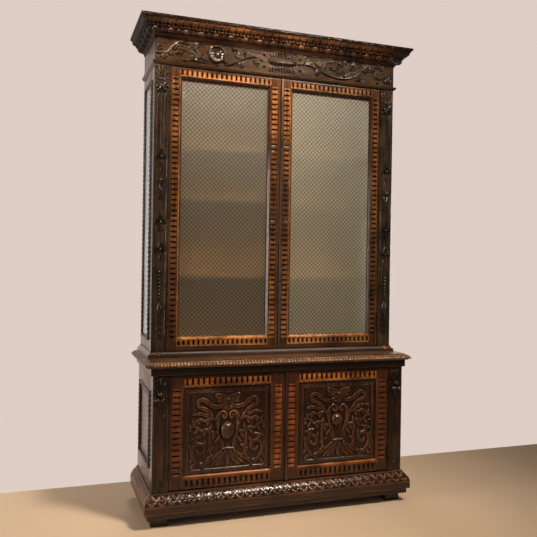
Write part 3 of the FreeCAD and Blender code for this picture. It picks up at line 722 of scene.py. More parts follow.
def fielded_side(side):
    """One side panel: a raised field with plain bevels before and behind, leafy ones above and below."""
    u, v = face_grid(*side_opening)
    in_u = from_ends(u)
    in_v = from_ends(v)
    ground = side_field * (np.clip(np.minimum(in_u, in_v) / side_bevel, 0, 1) - 1)
    leafy = (in_v < in_u) & (in_v < side_bevel)
    leaf = bump_round(repeat(u, side_leaf) / side_leaf_half[0], (in_v / side_bevel - 0.5) / side_leaf_half[1])
    ground += np.where(leafy, leaf * side_leaf_depth, 0)
    return carved_board(u, v, ground + hand_cut(u, v), facing_side(side, panel_high.x), side_panel_back)


skin("lower_side_panels_carved", [fielded_side(-1), fielded_side(1)], side_sheen_oak, "lower_side_panels")
rope_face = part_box("lower_side_frames")[1].x + low_rope_proud
rope_back = rope_face - panel_high.x + side_field
low_bars = frame_bars(*side_opening, low_rope_w)
low_ropes = []
for side in (-1, 1):
    low_ropes += rope_frame(low_bars, facing_side(side, rope_face), rope_back)
skin("lower_side_beads_roped", low_ropes, rope_oak, "lower_side_panels")


# Lower frieze: the plain moulded rail over the lower doors, returned along both sides under the waist board.
# It is planed from straight oak, mitred at the corners and left uncarved.
def uncarved(run, height):
    """No carving."""
    return np.zeros_like(run)


oak_y = waxed_oak("waxed_oak_along_side", "y", black_oak, brown_oak, rubbed_oak)
# The front of the lower frieze takes the darker black and brown as painted shade under the waist board.
shaded_x = waxed_oak("painted_shade_oak_lower_frieze", "x", shaded_black, shaded_brown, brown_oak)
mitred_round("lower_frieze", uncarved, uncarved, (shaded_x, oak_y))

# Waist board: one wide oak board on top of the lower case, which the upper case stands on. Its front and ends
# are moulded, and the slope of the edge is cut with a row of small leaves.
waist_rim = 60 * MM
waist_leaf = 16 * MM
waist_leaf_half = (0.44, 0.62)
waist_leaf_level = 0.4
waist_leaf_depth = 3 * MM
waist_tip = 770 * MM
waist_top = 785 * MM
waist_low, waist_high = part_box("waist_board")


def small_leaves(run, height):
    """A row of short rounded leaves with a cut between each two."""
    level = (height - waist_tip) / (waist_top - waist_tip)
    along = repeat(run, waist_leaf) / waist_leaf_half[0]
    return bump_round(along, (level - waist_leaf_level) / waist_leaf_half[1]) * waist_leaf_depth


# The waist is coloured far paler than the rest of the oak: some rubbing, and painted light on its upward
# face, with painted glints along its leaves.
lit_waist_oak = waxed_oak("worn_and_lit_oak_waist", "x", (44, 28, 17), (116, 78, 49), (230, 168, 114), gloss=0.14)
waist_outline = cut_outline("waist_board")
waist_outline[:, 0] = np.maximum(waist_outline[:, 0], -waist_low.y - waist_rim)
waist_strips = mitred_strips("waist_board", small_leaves, small_leaves, outline=waist_outline)
core_x = waist_high.x - waist_rim
core_y = waist_low.y + waist_rim
core_plan = [(-core_x, core_y), (core_x, core_y), (core_x, waist_high.y), (-core_x, waist_high.y)]
waist_core = upright(core_plan, (waist_low.z, waist_high.z))
skin("waist_board_carved", waist_strips + [waist_core], lit_waist_oak, "waist_board")

# Upper base: the mitred moulding that the upper case stands on, plain but for a small drop under each post,
# and the floor board behind its doors. Both are planed oak; the board shows only when the doors are open.
post_x = 622 * MM
tip_level = 807 * MM
tip_half = (9 * MM, 12 * MM)
tip_depth = 10 * MM
tip_highlight_depth = 3 * MM


def post_tips(run, height):
    """A small pointed drop under each post."""
    across = (np.abs(run) - post_x) / tip_half[0]
    return tip_depth * bump_round(across, (height - tip_level) / tip_half[1])


def tips_highlighted(relief, run, height):
    """The drops are painted bright as highlights, and the moulding between them hardly."""
    return FLAT_RUB + (1 - FLAT_RUB) * np.clip(relief / tip_highlight_depth, 0, 1)


base_x = waxed_oak("dull_oak_base", "x", black_oak, (52, 29, 18), (190, 116, 60), gloss=0.45)
# The returns of the upper base take the paler side colours too, as painted sheen.
base_y = waxed_oak("dull_oak_base_side", "y", *side_sheen_shades, gloss=0.2)
# The drops under the posts carry painted highlights.
mitred_round("upper_base", post_tips, uncarved, (base_x, base_y), tips_highlighted)
eased("upper_bottom_board", oak_x, EASE)


# Upper posts: tall square oak posts at the front corners, sunk between fillets and carved from the top down
# with a leaf fan, a black flower, flutes, bell flowers, knobs and a string of beads.
def bell_flower(standing, painted_highlights, level, size):
    """Three drooping petals over a bead, whose face carries a painted highlight."""
    for lean in (-1, 1, 0):
        petal = [(0, level + size, size * 0.18), (lean * size * 0.45, level + size * 0.1, size * 0.32),
                 (lean * size * 0.9, level - size * 0.55, size * 0.14)]
        standing.line(petal, size * 0.5, veined)
    standing.boss((0, level - size * 0.35), (size * 0.34, size * 0.34), size * 0.75)
    painted_highlights.boss((size * 0.08, level - size * 0.3), (size * 0.22, size * 0.2), 1.2)


def tall_carving(u, v):
    """The ornaments of a tall post, one below the other."""
    standing = Carving(u, v)
    # Painted highlights: pale strokes on the fan, and pale spots on the flower's heart, the bells, the knobs
    # and the beads.
    painted_highlights = Carving(u, v, unit=1)
    flutes = Carving(u, v, unit=1)
    for turn in np.radians((-62, -46, -30, -15, 0, 15, 30, 46, 62)):
        reach = min(76, 31 / max(abs(math.sin(turn)), 0.01))
        stroke = [(share * reach * math.sin(turn), 2150 + share * reach * math.cos(turn), wide)
                  for share, wide in ((0.15, 1.5), (0.6, 3.6), (0.9, 4), (1.0, 1.5))]
        standing.line(stroke, 8)
        painted_highlights.line(stroke, 1.0)
    for turn in np.radians(np.arange(0, 360, 45)):
        petal = [(reach * math.sin(turn), 2121 + reach * math.cos(turn), wide)
                 for reach, wide in ((6, 5), (18, 8), (31, 1.5))]
        standing.line(petal, 13, veined)
    standing.boss((0, 2121), (8, 8), 17)
    painted_highlights.boss((1, 2122), (5, 5), 1.5)
    for across in (-17, 0, 17):
        flute = [(across, 2076, 2), (across, 2062, 6), (across, 1850, 6), (across, 1832, 2)]
        flutes.line(flute, 1)
    for level, size in ((1787, 25), (1573, 13), (1465, 26), (1422, 14), (1331, 26), (962, 12), (928, 12),
                        (894, 12)):
        bell_flower(standing, painted_highlights, level, size)
    for drop, height, section in (([(0, 1745, 2), (0, 1722, 6), (0, 1700, 2)], 6, veined),
                                  ([(0, 1652, 8), (0, 1634, 11), (0, 1606, 3)], 11, half_round),
                                  ([(0, 1296, 3), (0, 1284, 6), (0, 1268, 2)], 7, veined),
                                  ([(0, 1068, 3), (0, 1030, 11), (0, 985, 2)], 9, veined)):
        standing.line(drop, height, section)
    standing.boss((0, 1662), (12, 13), 18)
    painted_highlights.boss((1, 1666), (6, 5), 1.3)
    painted_highlights.line([(-4, 1357, 2), (-9, 1343, 4), (-13, 1330, 2)], 1.0)
    painted_highlights.line([(0, 1058, 2), (0, 1030, 7), (0, 1000, 2)], 0.5)
    for level in range(1085, 1215, 18):
        standing.boss((0, level), (8.5, 8.5), 11)
        painted_highlights.boss((0, level + 2), (4, 4), 0.7)
    ground = sunk_face(u, v, 850 * MM, 2224 * MM) + sunk * flutes.height
    return black_on_brown(ground, standing.height, np.minimum(painted_highlights.height, 1))


post_oak = waxed_oak("blackened_oak_post", "z", (13, 10, 7), (29, 22, 17), (136, 105, 76), gloss=0.13)
carved_post("upper_left_post", post_oak, tall_carving, -post_x)
carved_post("upper_right_post", post_oak, tall_carving, post_x)

# Upper sides: plain oak frames that hold the side glass between beads. The outer beads are cut like a rope,
# as on the lower sides; the panes are cast glass with a fine basket pattern.
GLASS_STEP = 2.2 * MM
GLASS_ROUGHNESS = 0.3
GLASS_BENDING = 1.5
GLASS_SHADE = 0.2
weave = 16 * MM
weave_depth = 2.0 * MM
rib_end = 0.7
pane_edge = 6 * MM
side_bead_w = 16 * MM
side_glass_t = 4 * MM
# The upper side frames take the paler side colours, as painted sheen.
eased("upper_side_frames", side_sheen_oak, EASE)


def cast_glass(name, clear, dusty, haze):
    """Cast glass: its relief breaks up what stands behind it, and dust dulls its hollows. Light passes."""
    finish, tree, shader = new_finish(name)
    tree.links.new(tint(tree, rub_value(tree), stain(*dusty), stain(*clear)), shader.inputs["Base Color"])
    lit_through = shader_node(tree, "LightPath", {}).outputs["Is Shadow Ray"]
    tree.links.new(ranged(tree, lit_through, 0.0, 1.0, 1.0, GLASS_SHADE), shader.inputs["Alpha"])
    shader.inputs["Roughness"].default_value = GLASS_ROUGHNESS
    shader.inputs["Transmission Weight"].default_value = 1 - haze
    shader.inputs["IOR"].default_value = GLASS_BENDING
    return finish


def basket(u, v):
    """The relief of the glass, up to one: cells set cornerwise, each with one rib, turned by turns."""
    one = (u + v) / math.sqrt(2) / weave
    other = (u - v) / math.sqrt(2) / weave
    turn = np.mod(np.floor(one) + np.floor(other), 2) > 0.5
    across = np.mod(np.where(turn, one, other), 1)
    along = np.mod(np.where(turn, other, one), 1)
    return np.sin(np.pi * across) * (1 - rib_end * np.abs(2 * along - 1) ** 3)


def pane(u, v, place, thickness):
    """One pane: patterned on the face that place puts forward, flat and clear behind."""
    relief = basket(u, v)
    ground = weave_depth * (relief - 1) * fade(inset(u, v), pane_edge)
    outlines, ridge = carved_board(u, v, ground, place, thickness, relief)
    ridge[:, -2:] = 1
    return outlines, ridge


glass_low, glass_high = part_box("side_glass")
bead_low, bead_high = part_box("side_glazing_beads")
case_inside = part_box("upper_bottom_board")[1].x
pane_inside = glass_high.x - side_glass_t
bead_bars = frame_bars(bead_low.y, bead_high.y, bead_low.z, bead_high.z, side_bead_w)
side_panes = []
side_beads = []
for side in (-1, 1):
    u, v = face_grid(glass_low.y, glass_high.y, glass_low.z, glass_high.z, GLASS_STEP)
    side_panes.append(pane(u, v, facing_side(side, pane_inside, -1), side_glass_t))
    side_beads += rope_frame(bead_bars, facing_side(side, bead_high.x), bead_high.x - glass_high.x)
    for start, end, foot, top in bead_bars:
        plan = [(side * x, y) for x, y in ((case_inside, start), (pane_inside, start),
                                           (pane_inside, end), (case_inside, end))]
        side_beads.append(upright(plan, (foot, top)))
side_glass_finish = cast_glass("cast_side_glass", (246, 250, 255), (150, 156, 164), haze=0.3)
skin("side_glass_cast", side_panes, side_glass_finish, "side_glass")
skin("side_glazing_beads_roped", side_beads, rope_oak, "side_glazing_beads")

# Inside of the upper case: oiled boards for the shelves, their bearers, the ceiling and the back, and the
# strips that the doors close against. They show dimly through the glass.
# The shelves are dark on their edges and undersides as painted shade, and painted pale on top where light
# falls on them through the glass.
shelf_oak = waxed_oak("oiled_oak_shelf", "x", (38, 28, 19), (72, 53, 37), (196, 154, 112), gloss=0.6)
eased("upper_shelves", shelf_oak, INNER_EASE, top_rub=1.0)
for node in ("upper_top_board", "dust_board", "door_stops"):
    eased(node, inner_x, INNER_EASE)
eased("upper_shelf_bearers", inner_y, INNER_EASE)
boarded_back("upper_back_panel")

# Frieze: an oak board over the glazed doors with a ledge under it, carved with a running vine, flowers, a
# shell and berries round an oval boss. Its returns along the sides are plain.
frieze_face = -89.5 * MM
frieze_margin = 12 * MM
vine_foot = 2246 * MM
vine_level = 2304 * MM
vine_edge = 6 * MM
vine_ground = 0.2 * MM
vine_bedding = 0.05 * MM
# The highest bosses of the frieze are made paler as painted highlights.
frieze_ground_rub = 0.55
frieze_carving_rub = -0.25
frieze_crown_rub_and_glint = 0.4
carving_clear = 2 * MM
crown_start = 11 * MM
crown_reach = 5 * MM


def brown_standing(relief, run, height):
    """Carving a little darker than its ground, and paler on the highest bosses: rubbing, and a painted
    highlight.
    """
    standing = np.clip(relief / carving_clear, 0, 1)
    crown = np.clip((relief - crown_start) / crown_reach, 0, 1)
    return frieze_ground_rub + frieze_carving_rub * standing + frieze_crown_rub_and_glint * crown


def vine_carving(u, v):
    """All that stands out of the frieze, about the middle of the vine: stems, leaves, two flowers, a shell,
    berries, and the oval boss between two rows of leaves."""
    standing = Carving(u, v)
    line = standing.line
    x, z = u / MM, v / MM

    def leaf(foot_x, foot_z, lean, size):
        """Five lobes spread from one foot."""
        for turn, share in ((-1.1, 0.7), (-0.45, 0.95), (0.0, 1.1), (0.45, 0.95), (1.1, 0.7)):
            tip_x = foot_x + size * share * math.cos(lean + turn)
            tip_z = foot_z + size * share * math.sin(lean + turn)
            line([(foot_x, foot_z, 3), ((foot_x + tip_x) / 2, (foot_z + tip_z) / 2, size * 0.24),
                  (tip_x, tip_z, 2)], 8, veined)

    def rosette(middle, radius, petals, height):
        """A flower of so many petals round a bead."""
        off_x, off_z = x - middle[0], z - middle[1]
        reach = np.hypot(off_x, off_z) / radius
        petal = np.abs(np.cos(petals / 2 * np.arctan2(off_z, off_x)))
        edge = np.sqrt(np.clip(1 - (reach / (0.8 + 0.2 * petal)) ** 4, 0, 1))
        flower = edge * (0.45 + 0.55 * np.sqrt(petal)) * fade(reach, 0.5)
        standing.keep_higher(flower * height * MM)
        standing.boss(middle, (radius * 0.3, radius * 0.3), height * 1.1)

    line([(-652, -18, 4), (-603, -14, 6), (-583, 8, 6), (-548, 40, 6), (-509, 42, 6), (-469, 23, 6),
          (-449, 4, 5), (-428, -18, 5), (-398, -32, 3)], 9)
    line([(-630, -14, 4), (-650, 2, 5), (-640, 18, 5), (-626, 8, 5), (-636, 0, 4)], 9)
    line([(-300, -42, 3), (-270, -34, 6), (-231, -15, 6), (-187, 10, 6), (-137, 18, 6), (-108, 2, 4)], 9)
    line([(-395, -38, 3), (-420, -42, 5), (-470, -36, 6), (-500, -44, 3)], 8, veined)
    line([(95, 6, 4), (153, 9, 6), (210, -8, 6), (243, -22, 6), (288, -36, 6), (344, -42, 6), (395, -34, 6),
          (434, -14, 6), (462, 16, 6), (500, 40, 6), (550, 44, 6), (590, 26, 6), (592, -4, 6), (566, -20, 5),
          (544, -8, 5), (556, 6, 4)], 9)
    line([(250, 2, 4), (262, 30, 6), (300, 42, 6), (338, 28, 6), (344, 4, 6), (322, -12, 5), (300, -2, 4)], 9)
    for place in ((-613, -18, -1.9, 30), (-592, -2, -0.9, 28), (-500, 18, -0.6, 34), (-466, 30, 0.6, 28),
                  (-440, -26, 2.4, 30), (-225, -20, -1.2, 30), (-180, 14, 1.9, 32), (-140, 10, -1.4, 36),
                  (150, 12, 1.7, 34), (205, -12, -1.9, 28), (372, -36, 1.3, 36), (430, -18, -0.9, 32),
                  (470, 20, 0.2, 36), (520, 38, -1.2, 30), (622, -36, 1.7, 38), (200, 10, 0.9, 34),
                  (-240, 0, 1.2, 30), (410, 30, 1.4, 24)):
        leaf(*place)
    rosette((-541, 10), 30, 6, 16)
    rosette((300, 14), 26, 6, 14)
    dish = np.hypot(x + 350, z - 6) / 47
    flutes = 0.8 + 0.2 * np.cos(12 * np.arctan2(z - 6, x + 350))
    rim = np.clip(1 - ((dish - 0.86) / 0.15) ** 2, 0, 1)
    shell = rim + np.where(dish < 0.9, 0.25 + 0.55 * dish ** 2 * flutes, 0)
    standing.keep_higher(np.clip(shell, 0, 1.05) * 15 * MM)
    standing.boss((-344, 2), (17, 17), 17)
    for place in ((-246, 42), (-264, 40), (-199, 30), (-306, -28), (-345, -50), (-427, -4), (-514, -40),
                  (-95, -24), (-95, 38), (-529, 18), (2, 51), (18, 49), (-14, 49), (104, 36), (104, -24),
                  (398, 14), (560, -40)):
        standing.boss(place, (8.5, 8.5), 13)
    ribs = 1 - 0.1 * np.abs(np.sin(np.pi * z / 13))
    oval = np.clip(1 - ((x - 4) / 79) ** 4 - ((z - 8) / 20) ** 2, 0, 1)
    standing.keep_higher(np.sqrt(oval) * ribs * 22 * MM)
    for across in np.linspace(-60, 68, 9):
        line([(across * 0.8 + 1, -14, 3), (across, -30, 7), (across * 1.1, -44, 3)], 9, veined)
        line([(across * 0.9 + 1, 28, 3), (across, 38, 6), (across, 46, 3)], 8, veined)
    return standing.height


frieze_oak = waxed_oak("brown_oak_frieze", "x", (17, 12, 8), (46, 32, 20), (122, 88, 57), gloss=0.1)
frieze_strips = mitred_strips("frieze_front", uncarved, uncarved, brown_standing)
frieze_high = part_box("frieze_front")[1]
vine_half = frieze_high.x - frieze_margin
u, v = face_grid(-vine_half, vine_half, vine_foot, frieze_high.z)
vine = vine_carving(u, v - vine_level) * fade(from_ends(u), vine_edge) + hand_cut(u, v)
vine_board = carved_board(u, v, np.maximum(vine, vine_ground), facing_front(frieze_face), -vine_bedding,
                          brown_standing(vine, u, v))
skin("frieze_front_carved", frieze_strips[:1] + [vine_board], frieze_oak, "frieze_front")
skin("frieze_sides_carved", frieze_strips[1:], oak_y, "frieze_sides")

# Cornice: mitred oak mouldings that crown the cabinet: a fillet and a cove, a row of eggs and darts, a string
# of pearls, a leaf-carved cyma and the top fillet. They are glued and blocked to the dust board.
egg_low = 2378 * MM
egg_high = 2402 * MM
pearl_high = 2413 * MM
cyma_high = 2440 * MM
egg_pitch = 76 * MM
egg_place = 17.6 * MM
egg_half_w = 17 * MM
egg_depth = 12 * MM
egg_shell_reach = 1.38
egg_shell_w = 0.16
egg_shell_depth = 3.5 * MM
egg_band = 0.62
dart_half = (7 * MM, 0.55)
dart_depth = 5 * MM
pearl_pitch = 19 * MM
pearl_half = (0.46, 0.62)
pearl_depth = 6 * MM
pearl_sunk = 3.5 * MM
cyma_pitch = 38 * MM
cyma_leaf_half = (0.46, 0.62)
cyma_leaf_level = 0.35
cyma_vein_depth = 0.45
cyma_vein_w = 0.07
cyma_tip_half = (0.16, 0.28)
cyma_tip_level = 0.72
cyma_depth = 4 * MM
# The painted pool of light on the cornice reaches this far from the middle; the rub levels below mix rubbing
# with painted highlights on the knobs and painted shade round the eggs.
light_pool_reach = 735 * MM
foot_rub = 0.6
egg_rub_least = 0.1
egg_rub_more = 0.25
egg_rub_height = 9 * MM
pearl_rub_start = -1.5 * MM
pearl_rub_height = 3 * MM
leaf_rub_least = 0.1
leaf_rub_more = 0.55
top_rub = 0.03


def band_level(height, low, high):
    """Place up a band of the moulding, from minus a half to a half."""
    return (height - (low + high) / 2) / (high - low)


def cornice_carving(run, height):
    """Eggs and darts, pearls, and leaves, each in its own band of the moulding."""
    level = band_level(height, egg_low, egg_high)
    reach = np.hypot(repeat(run - egg_place, egg_pitch, 0.5) * egg_pitch / egg_half_w, level / 0.5)
    egg = np.sqrt(np.clip(1 - reach ** 2, 0, 1)) * egg_depth
    shell = np.exp(-((reach - egg_shell_reach) / egg_shell_w) ** 2) * egg_shell_depth
    between = repeat(run - egg_place, egg_pitch) * egg_pitch
    dart = bump_round(between / dart_half[0], level / dart_half[1]) * dart_depth
    eggs = np.maximum(np.maximum(egg, shell), dart) * (np.abs(level) < egg_band)
    rise = band_level(height, egg_high, pearl_high)
    pearl = bump_round(repeat(run, pearl_pitch) / pearl_half[0], rise / pearl_half[1])
    pearls = np.where(np.abs(rise) < 0.5, pearl * pearl_depth - pearl_sunk, 0)
    up = band_level(height, pearl_high, cyma_high) + 0.5
    across = repeat(run, cyma_pitch)
    leaf = bump_round(across / cyma_leaf_half[0], (up - cyma_leaf_level) / cyma_leaf_half[1])
    leaf = leaf * (1 - cyma_vein_depth * np.exp(-(across / cyma_vein_w) ** 2))
    between = repeat(run, cyma_pitch, 0.5)
    tip = bump_round(between / cyma_tip_half[0], (up - cyma_tip_level) / cyma_tip_half[1])
    leaves = np.where((up > 0) & (up < 1), np.maximum(leaf, tip) * cyma_depth, 0)
    return eggs + pearls + leaves


def cornice_wear_and_light(relief, run, height):
    """The pearls and the lowest mouldings are painted pale, the crowns of the eggs and leaves less, and the
    top
    fillet hardly at all: partly rubbing, partly painted highlights on the knobs and painted shade in the cove
    round the eggs. All of it fades towards both ends, a painted pool of light that is brightest in the
    middle."""
    light_pool = np.clip(1 - (run / light_pool_reach) ** 2, 0, 1)
    eggs = egg_rub_least + egg_rub_more * np.clip(relief / egg_rub_height, 0, 1)
    pearls = np.clip((relief - pearl_rub_start) / pearl_rub_height, 0, 1)
    leaves = leaf_rub_least + leaf_rub_more * np.clip(relief / cyma_depth, 0, 1)
    return np.select([height < egg_low, height < egg_high, height < pearl_high, height < cyma_high],
                     [foot_rub, eggs, pearls, leaves], top_rub) * light_pool


cornice_x = waxed_oak("red_oak_cornice", "x", (20, 13, 8), (46, 28, 18), (214, 136, 80), gloss=0.1)
# The returns of the cornice take the darker black and brown as painted shade.
cornice_y = waxed_oak("painted_shade_oak_cornice_side", "y", shaded_black, shaded_brown, brown_oak, gloss=0.6)
mitred_round("cornice", cornice_carving, cornice_carving, (cornice_x, cornice_y), cornice_wear_and_light)

# Upper doors: oak frames tenoned together, their faces cut with a ladder of scooped nulls, round one pane of
# cast glass held by plain beads. The right door carries a half-round astragal over the meeting edge.
MOULDED_DROP = 8 * MM
MOULDED_RUB = 0.2
NULL_DEPTH = 9 * MM
NULL_HALF_W = 5.5 * MM
NULL_FULLNESS = 0.7
REED_DEPTH = 0.5 * MM
REEDS = 6
UPWARD_SLOPE = 0.6
upper_pitch = 26 * MM
upper_band = (5 * MM, 34 * MM)
upper_moulded = 2 * MM
# How far the lower lips of the nulls take the bars' paleness, as painted highlight where they face up: less
# on the stiles, fully on the rails.
upright_lip = 0.3
level_lip = 1.0
# How pale the bars are at even steps up each member: a little rubbing, and mostly a painted pool of light,
# bright at the head of the doors and on the left door's top rail, dark a little above the middle of the
# meeting stiles.
outer_wear_and_light = (0.15, 0.5)
meeting_wear_and_light = (0.65, 0.65, 0.3, 0.15, 0.8, 1.0)
bottom_wear_and_light = (0.75,)
top_wear_and_light = {"left": (1.0,), "right": (0.6,)}
bead_w = 15 * MM
bead_lip = 3 * MM
bead_step = 1 * MM
bead_foot = 2 * MM
bead_side_rub = 0.15
bead_crown = 0.5 * MM
back_bead_share = 0.6
half_round_points = 13
crown_narrowness = 6
# Painted light on the glazing beads, bottom, right, top and left: pale below and black along the top, in
# shade.
bead_painted_light = {"left": (0.95, 0.3, 0.0, 0.9), "right": (0.95, 0.2, 0.0, 1.0)}
door_shades = (black_oak, (66, 36, 20), (240, 160, 90))
door_x = waxed_oak("rubbed_oak_rail", "x", *door_shades, gloss=0.15)
door_z = waxed_oak("rubbed_oak_stile", "z", *door_shades, gloss=0.15)
# The two doors hold the same glass, but the right pane is given more haze so that it scatters more light and
# looks brighter: a lit copy, standing for the brighter light on the right door.
door_glass = {"left": cast_glass("cast_left_glass", (250, 240, 208), (84, 76, 56), haze=0.035),
              "right": cast_glass("cast_right_glass", (255, 249, 224), (56, 52, 38), haze=0.1)}


def nulled_board(node, u, v, opening, band, pitch, moulded, rises, wear_and_painted_light, lip):
    """A frame member: round-ended nulls in a band round the opening, reeded bars between them, and the inner
    edge moulded over a given width. wear_and_painted_light is how pale the bars are, at even steps from the
    foot to the head of the opening: some rubbing, and a painted pool of light. lip is how much of that the
    lower lips of the nulls take, painted only where they face up as a painted highlight; the moulded edge is
    likewise painted pale where it faces up."""
    low_x, high_x, low_z, high_z = opening
    off = np.maximum(np.maximum(low_x - u, u - high_x), np.maximum(low_z - v, v - high_z))
    inner = np.clip(1 - off / moulded, 0, 1)
    half_band = (band[1] - band[0]) / 2
    across = np.abs(off - (band[0] + band[1]) / 2)
    along, start, end = (v, low_z, high_z) if rises else (u, low_x, high_x)
    spacing = (end - start) / round((end - start) / pitch)
    aside = np.abs(np.mod(along - start, spacing) - spacing / 2)
    reach = np.hypot(np.maximum(across - half_band + NULL_HALF_W, 0), aside) / NULL_HALF_W
    inside = (along > start) & (along < end)
    null = np.where(inside & (reach < 1), 1, 0)
    scoop = np.where(inside, np.clip(1 - reach ** 2, 0, 1) ** NULL_FULLNESS, 0)
    bar = np.where(inside & (across < half_band), 1 - null, 0)
    reeds = 0.5 - 0.5 * np.cos(REEDS * np.pi * across / half_band)
    ground = -MOULDED_DROP * (1 - np.sqrt(1 - inner ** 2)) - NULL_DEPTH * scoop - REED_DEPTH * reeds * bar
    level = np.clip((v - low_z) / (high_z - low_z), 0, 1)
    bar_wear_and_light = np.interp(level, np.linspace(0, 1, len(wear_and_painted_light)), wear_and_painted_light)
    # Painted light: the lips of the nulls and the moulded edge are painted pale where they face up, as if lit
    # from above.
    upward = np.clip(-np.gradient(ground, v[:, 0], axis=0) / UPWARD_SLOPE, 0, 1)
    moulded_rub_and_highlight = (MOULDED_RUB + (1 - MOULDED_RUB) * upward) * (inner > 0)
    rub = np.where(null, lip * bar_wear_and_light * upward, FLAT_RUB + (bar_wear_and_light - FLAT_RUB) * bar + moulded_rub_and_highlight)
    return front_board(node, u, v, ground + hand_cut(u, v) + edges_off(u, v), np.clip(rub, 0, 1))


def mitred_ring(low_x, high_x, low_z, high_z, section, wear_and_painted_light):
    """A bead round a rectangle, mitred at its corners; the section is points (inset, y), and
    wear_and_painted_light is how pale the bead is painted at the bottom, and along its crown at the right,
    top
    and left: painted light, pale on the sides that face up or towards the lamps and black along the top,
    which looks down into shade."""
    section = np.array(section)
    inward, y = section.T
    corners = ((low_x + inward, low_z + inward), (high_x - inward, low_z + inward),
               (high_x - inward, high_z - inward), (low_x + inward, high_z - inward))
    sides = [np.stack([x, y, z], axis=-1) for x, z in corners]
    crown = np.where(y < y.min() + bead_crown, 1.0, bead_side_rub)
    rubs = (np.full(len(y), wear_and_painted_light[0]), wear_and_painted_light[1] * crown, wear_and_painted_light[2] * crown, wear_and_painted_light[3] * crown)
    return [(np.stack([here, there]), rub) for here, there, rub in zip(sides, sides[1:] + sides[:1], rubs)]


def half_round_bead(node, finish, wear_and_painted_light):
    """A planed bead, half round in front, painted pale along a narrow line on its crown as a highlight, as
    far as wear_and_painted_light says from foot to head.
    """
    low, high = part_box(node)
    turn = np.linspace(0, math.pi, half_round_points)
    plan = np.column_stack([(low.x + high.x) / 2 - np.cos(turn) * (high.x - low.x) / 2,
                            low.y + (1 - np.sin(turn)) * (high.y - low.y)])
    levels = np.linspace(low.z, high.z, len(wear_and_painted_light))
    rub = np.outer(wear_and_painted_light, np.sin(turn) ** crown_narrowness)
    skin(node + "_planed", [upright(plan, levels, rub)], finish, node)


for side in ("left", "right"):
    door = "upper_{}_door_".format(side)
    low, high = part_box(door + "glazing_beads")
    opening = (low.x, high.x, low.z, high.z)
    for member, rises, wear_and_painted_light in (("outer_stile", True, outer_wear_and_light), ("meeting_stile", True, meeting_wear_and_light),
                                ("bottom_rail", False, bottom_wear_and_light), ("top_rail", False, top_wear_and_light[side])):
        node_low, node_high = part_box(door + member)
        ends = (node_low.x, node_high.x) if rises else (low.x, high.x)
        u, v = face_grid(*ends, node_low.z, node_high.z)
        board = nulled_board(door + member, u, v, opening, upper_band, upper_pitch, upper_moulded, rises,
                             wear_and_painted_light, upright_lip if rises else level_lip)
        skin(door + member + "_nulled", [board], door_z if rises else door_x, door + member)
    pane_low, pane_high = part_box(door + "glass")
    u, v = front_grid(door + "glass", GLASS_STEP)
    skin(door + "glass_cast", [pane(u, v, facing_front(pane_low.y), pane_high.y - pane_low.y)],
         door_glass[side], door + "glass")
    front_section = [(0, pane_low.y), (0, low.y), (bead_lip, low.y),
                     (bead_lip + bead_step, low.y + bead_step), (bead_w - bead_lip, pane_low.y - bead_foot),
                     (bead_w, pane_low.y - bead_foot), (bead_w, pane_low.y)]
    back_section = [(0, high.y), (0, pane_high.y), (bead_w, pane_high.y), (bead_w * back_bead_share, high.y)]
    beads = [strip for section in (front_section, back_section)
             for strip in mitred_ring(*opening, section, bead_painted_light[side])]
    skin(door + "glazing_beads_mitred", beads, door_z, door + "glazing_beads")
astragal_highlight_oak = waxed_oak("oak_astragal_painted_highlight", "z", black_oak, (48, 33, 25), (214, 178, 152), gloss=0.3)
# The upper astragal's painted highlight is faint below and full at the top.
half_round_bead("upper_right_door_astragal", astragal_highlight_oak, (0.1, 0.1, 0.1, 0.25, 1.0))

# Lower doors: oak frames cut with the same nulls and moulded round the inside, with a fielded panel loose in
# the grooves. Each panel is carved with a ribbon bow over a strapwork cartouche with leaves, round an egg on
# the left door and a ball on the right one.
PANEL_STEP = 1.6 * MM
lower_pitch = 28 * MM
lower_moulded = 17 * MM
panel_bevel = 20 * MM
panel_rise = 7 * MM
panel_sunk = 3 * MM
panel_bead = 4 * MM
panel_fade = 8 * MM
panel_rub = 0.1
panel_rub_depth = 1.6 * MM
boss_gap = 0.25
boss_swelling = 0.1
# The boss of each panel: its place, its radii and its height, in millimetres from the middle of the panel.
bosses = {"left": ((-3, -6), (36, 45), 28), "right": ((-9, 15), (31, 31), 27)}
# Each stile: the band of its nulls from the opening, how pale its bars are painted at its foot and head, and
# how much of that the lips of its nulls take where they face up: rubbing, with painted light brighter towards
# the head and on the lips.
stiles = {"outer_stile": ((17 * MM, 57 * MM), (0.5, 0.65), 0.5),
          "meeting_stile": ((22 * MM, 58 * MM), (0.85, 1.0), 1.0)}
bottom_band = (20 * MM, 57 * MM)
top_band = (10 * MM, 47 * MM)
# The rails' bars: dull on the bottom rail and bright on the top one, as painted light, and their null lips
# painted pale as highlights.
rail_wear_and_light = (0.2, 0.9)
rail_lip = 0.9
panel_oak = waxed_oak("dark_oak_panel", "z", (15, 9, 5), (50, 25, 13), (156, 98, 60), gloss=0.2)
lower_x = waxed_oak("rubbed_oak_lower_rail", "x", black_oak, (56, 28, 14), (240, 142, 66), gloss=0.2)
lower_z = waxed_oak("rubbed_oak_lower_stile", "z", black_oak, (56, 28, 14), (200, 106, 46), gloss=0.3)


